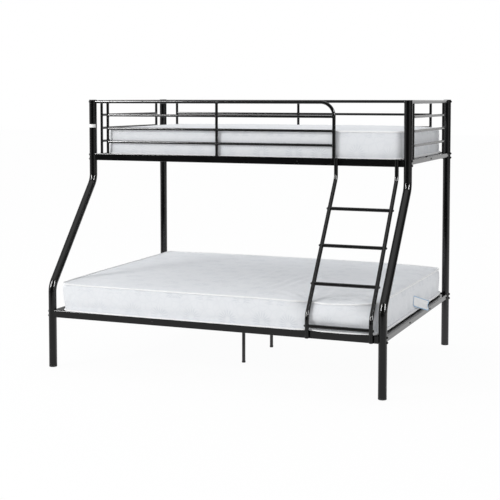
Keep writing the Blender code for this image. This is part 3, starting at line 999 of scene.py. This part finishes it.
# Mattresses: the box, its seams and how it spreads
mattress_thickness = 0.155
mattress_crown = 0.006
crown_power = 4
edge_roll = 0.005
edge_roll_width = 0.035
roll_power = 8
corner_radius = 0.032
corner_fade = 0.080
seam_groove_height = 0.016
seam_falloff = 1.5
foot_groove_place = 0.026
foot_groove_height = 0.019
spread_height = 0.012
end_dent_width = 0.03

# Piping, with its (share, rate, phase) of unevenness
piping_inset = 0.003
top_piping = (0.0050, 0.0035)
foot_piping_radius = 0.0046
piping_widening = 0.45
piping_sides = 12
piping_swells = ((0.05, 70, 0), (0.03, 23, 1))
hang_length = 0.002
edge_counts = (300, 220)

# Unevenness of the filling and pulls of the cover
wave_count, wave_rates, wave_swing, wave_turn = 9, (4, 16), 0.55, 0.6
pull_count, pull_rates, pull_turns = 7, (45, 95), (-0.9, 0.9)
phases = (0, 6.28)
soft_height = 0.0028
pull_height = 0.0007
edge_pull_height = 0.0014
edge_pull_width = 0.10
fold_inset = 0.02
folded_share = 0.1
side_swell = 0.0022
side_wave = 0.0012
side_band = 0.004

# The cover's cells, and the cloth simulation that blows it up
mattress_cells = (148, 108, 18)
gather_share = 0.80
rise_gather_share = 0.70
cover_slack = 1.002
cover_pressure = 4.0
cover_frames = 20
most_movement = 0.0045
seam_hold = 0.009
cover_sharp = 62
top_shift = 5.0
least_length = 1e-9

# Creases and dents by the ladder
crease_length = 0.075
crease_height = 0.0026
crease_turn = 0.16
crease_bends = ((0.014, 4.1, 5), (0.005, 13, 9))
crease_uneven = 0.35
crease_middle = (0.24, -0.18)
crease_spread = (0.32, 0.36)
fan_rays = 19
fan_height = 0.0019
fan_reach = 0.16
fan_root = 0.02
fan_falloff = 1.5
stile_clearance = 0.0012
bend_clearance = (0.004, 0.035)
dent_room = 1.15
dent_falloff = 1.6
dent_width = 0.050
dent_depth = 0.090
dent_fall = 0.08

# How the top sags and lifts along its edges
sag_depth = 0.30
sag_place = 0.85
sag_width = 0.11
right_fade = 0.20
rear_left_loss = 0.45
rear_left_fade = 0.10
rear_right_fade = 0.12
left_fade = 0.045
left_front_loss = 0.55
left_rear_loss = 0.55
left_loss_fade = 0.25


class Settings:
    """What sets one mattress apart from the other; each starts as a plain one."""

    dented = False
    sag = right = left = lean = swell = hang = tuck = 0.0

    def __init__(self, **values):
        self.__dict__.update(values)


upper_settings = Settings(
    body="upper_mattress", seed=11, rise=0.0015, rear=0.0050, seam=0.003, foot=-0.002,
    front_spread=0.002, end_spread=0.012, foot_out=0.0030,
)
lower_settings = Settings(
    body="lower_mattress", seed=5, dented=True, rise=-0.0018, sag=0.0092, rear=0.016, right=0.010,
    left=0.013, lean=0.011, seam=0.0075, foot=0.0095, swell=0.007, front_spread=0.011,
    end_spread=0.003, foot_out=0.0045, hang=0.0010, tuck=0.008,
)


def bell(off, width, power=2):
    """One at no distance, and less and less beyond a width."""
    return np.exp(-((off / width) ** power))


def stile_back(height):
    """How far back the ladder's stiles reach at a height."""
    run, rise = upper_stile_line - lower_stile_line, stile_bend_high - stile_bend_low
    line = lower_stile_line + np.clip((height - stile_bend_low) / rise, 0, 1) * run
    most, width = bend_clearance
    bend_room = most * bell(height - stile_bend_low, width)
    return line + (stile_radius + stile_clearance) * math.hypot(1, run / rise) + bend_room


def clear_of_stiles(points):
    """Move a cover's points back to where the stiles end."""
    x, y, z = points.T
    room = stile_radius + stile_clearance
    for across in stile_lines:
        off = abs(x - across)
        round_off = room - np.sqrt(np.maximum(room**2 - off**2, 0))
        y = np.where(off < room, np.maximum(y, stile_back(z) - round_off), y)
    return np.stack((x, y, z), -1)


class Mattress:
    """The form of one mattress: where each point of a box's surface lies on it."""

    def __init__(self, node, settings):
        low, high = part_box(node)
        self.middle = np.array(((low.x + high.x) / 2, (low.y + high.y) / 2))
        self.half = np.array(((high.x - low.x) / 2, (high.y - low.y) / 2)) - piping_inset
        self.floor = low.z
        self.settings = settings
        random = np.random.default_rng(settings.seed)
        self.waves = [
            (random.uniform(*wave_rates), random.uniform(-1, 1) * wave_swing + wave_turn, random.uniform(*phases))
            for _ in range(wave_count)
        ]
        self.pulls = [
            (random.uniform(*pull_rates), random.uniform(*pull_turns), random.uniform(*phases))
            for _ in range(pull_count)
        ]

    def places(self, a, b, c, pressed=True):
        """Places of points given from -1 to 1 along and across, and from 0 to 1 up."""
        own = self.settings
        end = math.pi / 2 * gather_share
        a, b = (np.sin(np.asarray(value, float) * end) / math.sin(end) for value in (a, b))
        height = gathered(np.asarray(c, float)) * mattress_thickness
        c = height / mattress_thickness
        drawn = own.seam * bell(mattress_thickness - height, seam_groove_height, seam_falloff)
        foot = own.foot * bell(height - foot_groove_place, foot_groove_height)
        low_down = bell(height, spread_height)
        off_ends = 1 - bell((1 - abs(a)) * self.half[0], corner_fade)
        off_sides = 1 - bell((1 - abs(b)) * self.half[1], corner_fade)
        if own.dented:
            for across in stile_lines:
                off_ends = off_ends * (1 - bell(a * self.half[0] + self.middle[0] - across, end_dent_width))
        right_out = (own.swell + own.end_spread * low_down) * off_sides
        front_out = own.front_spread * low_down * off_ends
        half_x = self.half[0] - drawn + np.where(a > 0, right_out, -own.lean * (1 - c))
        half_y = self.half[1] - drawn - foot + np.where(b < 0, front_out, 0)
        x = a * half_x
        y = b * half_y
        inner_x = np.clip(x, corner_radius - half_x, half_x - corner_radius)
        inner_y = np.clip(y, corner_radius - half_y, half_y - corner_radius)
        rest_x = x - inner_x
        rest_y = y - inner_y
        length = np.hypot(rest_x, rest_y)
        longer = np.maximum(abs(rest_x), abs(rest_y))
        scale = np.where(length > 0, longer / np.maximum(length, least_length), 1)
        x = inner_x + rest_x * scale
        y = inner_y + rest_y * scale
        edge = np.minimum(half_x - abs(x), half_y - abs(y))
        z = height + self.crown(x, y, a, b, c, edge)
        x = x + self.middle[0]
        y = y + self.middle[1]
        z, bulge = self.folds(x, y, z, c, edge)
        bulge = bulge * np.sin(math.pi * c) * (edge < side_band)
        side_y = np.where(abs(b) > abs(a) * half_x / half_y, np.sign(b), 0)
        side_x = np.where(side_y == 0, np.sign(a), 0)
        x = x + side_x * bulge
        y = y + side_y * bulge
        if own.dented and pressed:
            x, y, z = self.dent(x, y, z, c)
        return np.stack((x, y, z + self.floor), -1)

    def crown(self, x, y, a, b, c, edge):
        """How much higher a point lies than on a plain box: crown, rolled edges, sag and lifted corners."""
        own = self.settings
        rounded = (1 - abs(a) ** crown_power) * (1 - abs(b) ** crown_power)
        roll = edge_roll * bell(np.maximum(edge, 0), edge_roll_width, 1)
        share = (x / self.half[0] + 1) / 2
        from_front, from_rear = self.half[1] + y, self.half[1] - y
        from_left, from_right = (np.maximum(self.half[0] + turn * x, 0) for turn in (1, -1))
        front = own.rise - own.sag * bell(share - sag_place, sag_width)
        rear = 1 - rear_left_loss * bell(share, rear_left_fade, 1) - bell(1 - share, rear_right_fade, 1)
        left = 1 - left_front_loss * bell(from_front, left_loss_fade, 1)
        left = left - left_rear_loss * bell(from_rear, left_loss_fade, 1)
        lift = rounded * mattress_crown + front * bell(from_front, sag_depth, 1)
        lift = lift + own.rear * rear * bell(from_rear, sag_depth, 1)
        lift = lift + own.right * (1 - b) / 2 * bell(from_right, right_fade, 1)
        lift = lift + own.left * left * bell(from_left, left_fade, 1)
        return c**2 * lift - c**roll_power * roll

    def folds(self, x, y, z, c, edge):
        """Soft unevenness of the filling, and fine pulls of the cover along its edges."""
        soft = 0.0
        for rate, turn, phase in self.waves:
            soft = soft + np.sin(rate * (x * turn + y * (1 - turn)) + phase)
        soft = soft / len(self.waves)
        fine = 0.0
        for rate, turn, phase in self.pulls:
            fine = fine + np.sin(rate * (x + y * turn) + phase + 2 * np.sin(7 * y + phase))
        fine = fine / len(self.pulls)
        from_edge = np.maximum(edge, 0)
        pull = pull_height + edge_pull_height * bell(from_edge, edge_pull_width, 1)
        shown = np.clip((c - 1) / folded_share + 1, 0, 1) * (1 - bell(from_edge, fold_inset, 1))
        z = z + shown * (soft * soft_height + fine * pull)
        if self.settings.dented:
            z = z + shown * self.creases(x, y)
        bulge = soft * side_swell + side_wave * np.sin(38 * (x + y) + 3 * np.sin(9 * (x - y)))
        return z, bulge

    def creases(self, x, y):
        """Long shallow creases of the cover that run back from the ladder."""
        off_x = (x - crease_middle[0]) / crease_spread[0]
        off_y = (y - crease_middle[1]) / crease_spread[1]
        window = np.exp(-(off_x**2 + off_y**2))
        bends = [size * np.sin(rate_y * y + rate_x * x) for size, rate_y, rate_x in crease_bends]
        swing = x - crease_turn * y + sum(bends)
        uneven = 1 - crease_uneven + crease_uneven * np.sin(17 * x - 6 * y + 1)
        crease = crease_height * window * uneven * np.sin(2 * math.pi * swing / crease_length)
        front = self.middle[1] - self.half[1]
        for across in stile_lines:
            behind = y - front + fan_root
            turn = np.arctan2(x - across, behind)
            far = np.hypot(x - across, behind) / fan_reach
            strength = fan_height * far * np.exp(1 - far**fan_falloff)
            crease = crease + strength * np.sin(fan_rays * turn + 2 * far)
        return crease

    def dent(self, x, y, z, c):
        """Press the front in behind the ladder's stiles."""
        front = self.middle[1] - self.half[1]
        depth = np.maximum(stile_back(z + self.floor) - front, 0)
        press = np.zeros_like(x)
        for across in stile_lines:
            off = np.maximum(abs(x - across) - stile_radius * dent_room, 0)
            press = np.maximum(press, bell(off, dent_width, dent_falloff))
        push = depth * press
        fade = bell(np.maximum(y - front, 0), dent_depth, 1)
        return x, y + push * fade, z - c**2 * dent_fall * push * fade


def gathered(c):
    """A share of the height with more points near the top and the bottom."""
    return c + rise_gather_share * ((1 - np.cos(math.pi * c)) / 2 - c)


def surface_cells(cells):
    """Lattice places and faces of the six sides of a box divided into cells."""
    numbers = {}
    faces = []
    kinds = []
    for axis in range(3):
        one, two = (axis + 1) % 3, (axis + 2) % 3
        for end in (0, cells[axis]):
            for i, j in np.ndindex(cells[one], cells[two]):
                corners = []
                for step_i, step_j in ((0, 0), (1, 0), (1, 1), (0, 1)):
                    spot = [0, 0, 0]
                    spot[axis], spot[one], spot[two] = end, i + step_i, j + step_j
                    corners.append(numbers.setdefault(tuple(spot), len(numbers)))
                if end == 0:
                    corners.reverse()
                faces.append(tuple(corners))
                kinds.append(axis)
    return np.array(list(numbers), float), faces, kinds


def edge_loop(form, height):
    """Places round the upper or lower edge of a mattress."""
    run, width = (np.linspace(-1, 1, count, endpoint=False) for count in edge_counts)
    a = np.concatenate((run, np.ones_like(width), -run, -np.ones_like(width)))
    b = np.concatenate((-np.ones_like(run), width, np.ones_like(run), -width))
    return form.places(a, b, np.full(len(a), height))


def add_piping(shell, loop, radius, out_by, rise, hang=0.0, tuck=0.0, wide=0.0):
    """A cord sewn round an edge: it can hang at the front, tuck in at the left and widen at the right."""
    tangents = loop_tangents(loop)
    out = np.cross(tangents, up)
    out /= np.linalg.norm(out, axis=1)[:, None]
    side = np.cross(out, tangents)
    line = loop + out * (out_by - tuck * np.clip(-out[:, :1], 0, 1))
    wider = 1 + wide * np.clip(out[:, 0], 0, 1)
    rail_face = low_of("side_rail_lower_front").y
    past = (rail_face - line[:, 1] - radius) / hang_length + 1
    line[:, 2] += rise * wider - hang * np.clip(past, 0, 1)
    travel = np.concatenate(((0,), np.cumsum(np.linalg.norm(np.diff(line, axis=0), axis=1))))
    swell = sum(share * np.sin(travel * rate + phase) for share, rate, phase in piping_swells)
    add_cord(shell, line, out, side, radius * wider * (1 + swell), piping_sides, clear_of_stiles)


# Cloth: sizes of the woven sunbursts, colours, and the band of painted shade below the top seam
motif_run, motif_rise = 0.190, 0.118
motif_rays = 18.0
motif_room_x, motif_room_y = (0.38, 0.62), (0.10, 0.26)
motif_core = (0.010, 0.018)
motif_rim = (0.062, 0.036)
motif_strengths = (0.35, 1.0)
vein_scale, vein_widths, vein_share = 24, (0.02, 0.12), 0.22
pattern_share = 0.60
weave_warp, weave_weft, twill_scale, thread_scale = 260, 200, 330, 320
# Painted shade band below the top seam: it runs between these two drops under the top
seam_shadow = (0.008, 0.003)
sheen = 0.15
ticking_light, ticking_dark = (0.808, 0.824, 0.846), (0.680, 0.705, 0.740)
# Grey that the sides are mixed towards in that band, painted in place of the shadow under the top piping
seam_shade_grey = (0.52, 0.53, 0.54, 1)
tape_shade, tape_white = (0.86, 0.865, 0.87), (0.905, 0.91, 0.915)
tag_blue, tag_white = (0.36, 0.56, 0.78), (0.88, 0.89, 0.90)


def ticking():
    """White ticking with a faint woven sunburst, a fine rib, and painted shade in a band just below the top seam.
    """
    made = Nodes("white_damask_ticking")
    uv = made.cloth()
    u, v = made.parts(uv)
    row = made.math("DIVIDE", v, motif_rise)
    row_number = made.math("FLOOR", row)
    stagger = made.math("MULTIPLY", made.math("PINGPONG", row_number, 1.0), 0.5)
    column = made.math("ADD", made.math("DIVIDE", u, motif_run), stagger)
    cell = made.add("ShaderNodeCombineXYZ", None, X=made.math("FLOOR", column), Y=row_number)
    chance = made.add("ShaderNodeTexWhiteNoise", {"noise_dimensions": "2D"}, Vector=cell.outputs[0])
    chances = made.add("ShaderNodeSeparateColor", None, Color=chance.outputs["Color"]).outputs
    x, y = (
        made.math("MULTIPLY", made.math("SUBTRACT", made.math("FRACT", place), made.spread(off, *room)), size)
        for place, off, room, size in (
            (column, chances[0], motif_room_x, motif_run),
            (row, chances[1], motif_room_y, motif_rise),
        )
    )
    squares = made.math("ADD", made.math("MULTIPLY", x, x), made.math("MULTIPLY", y, y))
    radius = made.math("SQRT", squares)
    rays = made.math("SINE", made.math("MULTIPLY", made.math("ARCTAN2", y, x), motif_rays))
    rays = made.math("MULTIPLY", made.math("ADD", rays, 1.0), 0.5)
    inner, outer = (made.spread(radius, 0, 1, *ends, "SMOOTHSTEP") for ends in (motif_core, motif_rim))
    burst = made.math("MULTIPLY", rays, inner, outer, made.spread(chances[2], *motif_strengths))
    leaf = made.add("ShaderNodeTexVoronoi", {"feature": "DISTANCE_TO_EDGE"}, Vector=uv, Scale=vein_scale)
    vein = made.spread(leaf.outputs["Distance"], 1, 0, *vein_widths)
    pattern = made.math("ADD", burst, made.math("MULTIPLY", vein, vein_share))
    shade = made.math(
        "ADD",
        made.math("MULTIPLY", pattern, pattern_share),
        made.math("MULTIPLY", made.noise(uv, 5, 4), 1 - pattern_share),
    )
    cloth = made.ramp(shade, ((0.1, ticking_light), (0.9, ticking_dark)))
    # Painted shade: on the sides only, the cloth is mixed up to halfway towards grey just below the top seam,
    # more towards the top, for the piping's shadow
    top_seam_shade_mask = made.spread(v, 0, 1, *(mattress_thickness - drop for drop in seam_shadow))
    seams = made.math("MULTIPLY", top_seam_shade_mask, made.math("LESS_THAN", v, 1.0), 0.5)
    shaded = made.add("ShaderNodeMix", {"data_type": "RGBA"}, i0=seams, i6=cloth, i7=seam_shade_grey)
    weave = made.math("MULTIPLY", made.threads(uv, "X", weave_warp), made.threads(uv, "Y", weave_weft))
    relief = made.bump(pattern, 0.35, 0.0008, made.bump(weave, 0.30, 0.0004))
    made.shade(
        Base_Color=shaded.outputs[2],
        Roughness=made.spread(pattern, 0.92, 0.70),
        Sheen_Weight=sheen,
        Sheen_Roughness=0.6,
        Specular_IOR_Level=0.25,
        Normal=made.bump(made.noise(uv, 38, 4), 0.25, 0.0012, relief),
    )
    return made.material


def piping_cloth():
    """Bright tape with a diagonal weave."""
    made = Nodes("white_piping_tape")
    place = made.place()
    made.shade(
        Base_Color=made.ramp(made.noise(place, 60), ((0.3, tape_shade), (0.7, tape_white))),
        Roughness=0.72,
        Sheen_Weight=sheen,
        Normal=made.bump(made.threads(place, "DIAGONAL", twill_scale), 0.35, 0.0005),
    )
    return made.material


ticking_cloth = ticking()
piping_tape = piping_cloth()
cell_places, cell_faces, cell_kinds = surface_cells(mattress_cells)


cover_settings = {
    "vertex_group_mass": "seams",
    "quality": 5,
    "mass": 0.15,
    "tension_stiffness": 15,
    "compression_stiffness": 15,
    "shear_stiffness": 5,
    "bending_stiffness": 0.3,
    "use_pressure": True,
    "uniform_pressure_force": cover_pressure,
}


def settled(points, slack_points, fade):
    """The cover blown up softly between its seams by a cloth simulation."""
    scene = bpy.context.scene
    cover = placed("settling", meshed("settling", points.tolist(), cell_faces))
    cover.shape_key_add(name="Basis")
    slack = cover.shape_key_add(name="slack")
    slack.data.foreach_set("co", slack_points.astype(np.float32).ravel())
    last = np.array(mattress_cells)
    on_side = ((cell_places[:, :2] == 0) | (cell_places[:, :2] == last[:2])).any(1)
    held = (cell_places[:, 2] == 0) | ((cell_places[:, 2] == last[2]) & on_side)
    group = cover.vertex_groups.new(name="seams")
    group.add(np.nonzero(held)[0].tolist(), 1.0, "REPLACE")
    cloth = cover.modifiers.new("cloth", "CLOTH")
    for name, value in cover_settings.items():
        setattr(cloth.settings, name, value)
    cloth.settings.rest_shape_key = slack
    cloth.settings.effector_weights.gravity = 0
    cloth.point_cache.frame_start = 1
    cloth.point_cache.frame_end = cover_frames
    for number in range(1, cover_frames + 1):
        scene.frame_set(number)
    shaped = cover.evaluated_get(bpy.context.evaluated_depsgraph_get()).data
    moved = np.zeros(len(points) * 3, np.float32)
    shaped.vertices.foreach_get("co", moved)
    moved = moved.reshape(-1, 3).astype(float) - points
    mesh = cover.data
    bpy.data.objects.remove(cover)
    bpy.data.meshes.remove(mesh)
    scene.frame_set(1)
    length = np.linalg.norm(moved, axis=1)
    kept = fade * most_movement * np.tanh(length / most_movement) / np.maximum(length, least_length)
    return points + moved * kept[:, None]


def lay_out(mesh, coordinates):
    """The cloth's own coordinates, worked out from the point at each corner of the faces."""
    layer = mesh.uv_layers.new(name="cloth")
    corners = np.zeros(len(mesh.loops), int)
    mesh.loops.foreach_get("vertex_index", corners)
    layer.data.foreach_set("uv", coordinates(corners).astype(np.float32).ravel())


def make_mattress(node, own):
    """One mattress with its piping."""
    form = Mattress(node, own)
    shares = cell_places / np.array(mattress_cells)
    lattice = (shares[:, 0] * 2 - 1, shares[:, 1] * 2 - 1, shares[:, 2])
    points = form.places(*lattice)
    heights = gathered(shares[:, 2]) * mattress_thickness
    slack_points = form.places(*lattice, pressed=False)
    centre = slack_points.mean(0)
    inward = (form.half - abs(points[:, :2] - form.middle)).min(1).clip(0)
    from_top = np.hypot(inward, mattress_thickness - heights)
    fade = (1 - bell(from_top, seam_hold)) * (1 - bell(heights, seam_hold))
    points = settled(points, centre + (slack_points - centre) * cover_slack, fade)
    if own.dented:
        points = clear_of_stiles(points)
    kinds = np.repeat(np.array(cell_kinds), 4)

    def coordinates(corners):
        x, y, height = points[corners, 0], points[corners, 1], heights[corners]
        run = np.choose(kinds, (y, x, x + top_shift))
        return np.stack((run, np.choose(kinds, (height, height, y + top_shift))), 1)

    mesh = meshed(node + "_cover", points.tolist(), cell_faces, ticking_cloth)
    lay_out(mesh, coordinates)
    smooth(mesh, cover_sharp)
    cover = placed(node + "_cover", mesh)
    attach(cover, own.body)
    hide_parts(node)
    shell = Shell()
    add_piping(shell, edge_loop(form, 1.0), *top_piping, 0.0)
    foot = (foot_piping_radius, own.foot_out, foot_piping_radius, own.hang, own.tuck, piping_widening)
    add_piping(shell, edge_loop(form, 0.0), *foot)
    shell.finish(node + "_piping", piping_tape, body=own.body)
    return form


make_mattress("mattress_upper", upper_settings)
lower_form = make_mattress("mattress_lower", lower_settings)

# Blank tag on the end of the lower mattress
tag_size = (0.150, 0.058)
tag_root = (0.0, 0.418)
tag_lean = 0.30
tag_turn = (math.radians(4), math.radians(38))
tag_fall = 0.30
tag_clearance = 0.0012
tag_border = 0.0045
tag_cells = (30, 14)
tag_skin = 0.0007
tag_wave = 0.003


def tag_cloth():
    """White woven tape with a pale blue border."""
    made = Nodes("blank_woven_tag")
    uv = made.cloth()
    edges = []
    for here, length in zip(made.parts(uv), tag_size):
        edges += [here, made.math("SUBTRACT", length, here)]
    within = made.math("DIVIDE", made.math("MINIMUM", *edges), tag_border)
    thread = made.threads(uv, "Y", thread_scale)
    made.shade(
        Base_Color=made.ramp(within, ((0.92, tag_blue), (1.0, tag_white))),
        Roughness=made.spread(thread, 0.55, 0.70),
        Normal=made.bump(thread, 0.25, 0.0003),
    )
    return made.material


def make_tag(form):
    """A tag sewn to the end of the mattress by one short edge, which stands out from it."""
    wide, tall = tag_cells
    run = np.linspace(0, 1, wide + 1)
    turn = tag_turn[0] + (tag_turn[1] - tag_turn[0]) * run
    step = tag_size[0] / wide * math.sqrt(1 - tag_fall**2)
    out, back = (np.concatenate(((0,), np.cumsum(way(turn[1:]) * step))) for way in (np.sin, np.cos))
    end_face = form.middle[0] + form.half[0] + form.settings.swell + most_movement
    grid = np.meshgrid(np.arange(wide + 1), np.linspace(0, 1, tall + 1), indexing="ij")
    across, drop = (part.ravel() for part in grid)
    run = run[across]
    x = end_face + tag_clearance + out[across] + tag_wave * np.sin(3 * math.pi * drop) * run
    y = tag_root[0] + back[across] - drop * tag_size[1] * tag_lean
    z = tag_root[1] - run * tag_size[0] * tag_fall - drop * tag_size[1] * math.sqrt(1 - tag_lean**2)
    count = len(x)
    column = tall + 1
    faces = []
    for i, j in np.ndindex(wide, tall):
        first = i * column + j
        quad = (first, first + column, first + column + 1, first + 1)
        faces += [quad[::-1], tuple(corner + count for corner in quad)]
    rim = [*range(column), *range(column + tall, count, column)]
    rim += [*range(count - 2, count - column - 1, -1), *range(count - 2 * column, 0, -column)]
    for here, after in zip(rim, rim[1:] + rim[:1]):
        faces.append((here, after, after + count, here + count))
    shell = Shell()
    shell.add(np.concatenate([np.stack((x + off, y, z), 1) for off in (0, tag_skin)]), faces)
    tag = shell.finish("mattress_lower_tag", tag_cloth(), body="lower_mattress")
    flat = np.tile(np.stack((run * tag_size[0], (1 - drop) * tag_size[1]), 1), (2, 1))
    lay_out(tag.data, lambda corners: flat[corners])


make_tag(lower_form)

# Floor, background and light
stage_half = 40
floor_glow = 0.95
floor_white = (0.9, 0.9, 0.9, 1)
world_level = 0.80
world_tilt = (-0.40, 0.42, 0.16)
world_least = 0.12
world_most = 1.30
world_colour = (0.985, 0.99, 1.0, 1)
screen_distance = 16.0
screen_height = 22.0
screen_steps = 16
screens = (
    ("screen_far_left", -158, -84, 0.66),
    ("screen_left", -84, -40, 0.44),
    ("screen_front", -40, 36, 0.97),
    ("screen_right", 36, 98, 0.60),
    ("screen_far_right", 98, 147, 0.92),
)
floor_screens = (
    ("floor_screen_near", (-7.0, 7.0), (-3.0, -0.62), 0.40),
    ("floor_screen_far", (-9.0, 9.0), (-15.0, -3.0), 0.96),
)
floor_screen_height = 0.0015
strip_distance = 11.0
key_place = (-5.0, -6.0, 4.2)
key_aim = (0.0, -0.3, 0.9)
key_size = (1.6, 1.6)
key_power = 235
strips = (
    ("strip_left", -37, (15, 44), 1.3, 62),
    ("strip_right", 62, (15, 39), 1.4, 50),
)


def mixed_material(name, share, first, second):
    """A material that mixes two plain shaders, each given by its kind and its inputs."""
    material = bpy.data.materials.new(name)
    tree = Tree(material)
    shaders = [tree.add(kind, None, **inputs) for kind, inputs in (first, second)]
    tree.add("ShaderNodeOutputMaterial", None, Surface=tree.mixed(share, *shaders))
    return material


def make_floor():
    """A white floor that keeps the bed's shadow."""
    matt = ("ShaderNodeBsdfDiffuse", {"Color": floor_white})
    glow = ("ShaderNodeEmission", {"Strength": 1.0})
    material = mixed_material("white_floor", floor_glow, matt, glow)
    corners = [(x * stage_half, y * stage_half, 0) for x, y in ((-1, -1), (1, -1), (1, 1), (-1, 1))]
    placed("floor", meshed("floor", corners, [(0, 1, 2, 3)], material))


def make_world():
    """White behind the bed and in its reflections, and a soft graded light on it."""
    world = bpy.data.worlds.new("studio")
    bpy.context.scene.world = world
    tree = Tree(world)
    rays = tree.add("ShaderNodeLightPath").outputs
    seen = tree.math("MAXIMUM", *(rays[f"Is {kind} Ray"] for kind in ("Camera", "Glossy", "Transmission")))
    place = tree.add("ShaderNodeTexCoord").outputs["Generated"]
    dot = tree.add("ShaderNodeVectorMath", {"operation": "DOT_PRODUCT"}, i0=place, i1=world_tilt)
    level = tree.math("ADD", dot.outputs["Value"], world_level)
    kept = tree.add("ShaderNodeClamp", None, i0=level, Min=world_least, Max=world_most).outputs[0]
    graded = tree.add("ShaderNodeBackground", None, Color=world_colour, Strength=kept)
    white = tree.add("ShaderNodeBackground", None, Color=(1, 1, 1, 1), Strength=1.0)
    tree.add("ShaderNodeOutputWorld", None, Surface=tree.mixed(seen, graded, white))


def only_reflected(item):
    """Leave an object or lamp to reflections."""
    for kind in ("camera", "diffuse", "transmission", "volume_scatter"):
        setattr(item, "visible_" + kind, False)


def make_screen(name, points, faces, share):
    """A dark sheet of the studio, which lets part of the light through and shows in reflections alone."""
    clear, dark = ("ShaderNodeBsdfTransparent", {}), ("ShaderNodeBsdfDiffuse", {"Color": (0, 0, 0, 1)})
    screen = placed(name, meshed(name, points, faces, mixed_material(name, share, clear, dark)))
    only_reflected(screen)
    screen.visible_shadow = False


def make_screens():
    """The dark parts of the studio round the bed and on the floor in front of it."""
    for name, start, end, share in screens:
        points = []
        for step in range(screen_steps + 1):
            angle = math.radians(start + (end - start) * step / screen_steps)
            x, y = math.sin(angle) * screen_distance, -math.cos(angle) * screen_distance
            points += [(x, y, 0.0), (x, y, screen_height)]
        faces = [(2 * step, 2 * step + 2, 2 * step + 3, 2 * step + 1) for step in range(screen_steps)]
        make_screen(name, points, faces, share)
    for name, (left, right), (near, far), share in floor_screens:
        corners = ((left, near), (right, near), (right, far), (left, far))
        make_screen(name, [(x, y, floor_screen_height) for x, y in corners], [(0, 1, 2, 3)], share)


def make_light(name, place, aim, size, power):
    """One area lamp."""
    data = bpy.data.lights.new(name, "AREA")
    data.shape = "RECTANGLE"
    data.size, data.size_y = size
    data.energy = power
    light = placed(name, data)
    light.location = place
    light.rotation_euler = (Vector(aim) - Vector(place)).to_track_quat("-Z", "Y").to_euler()
    return light


def make_strips():
    """Tall lamps far off that show in the gloss of the paint."""
    for name, turn, rises, width, glow in strips:
        angle = math.radians(turn)
        low, high = (strip_distance * math.tan(math.radians(rise)) for rise in rises)
        place = (math.sin(angle) * strip_distance, -math.cos(angle) * strip_distance, (low + high) / 2)
        size = (width, high - low)
        aim = (0, 0, (low + high) / 2)
        only_reflected(make_light(name, place, aim, size, glow * math.pi * size[0] * size[1]))


make_floor()
make_world()
make_screens()
make_strips()
soft_box = make_light("key_softbox", key_place, key_aim, key_size, key_power)
soft_box.visible_glossy = False
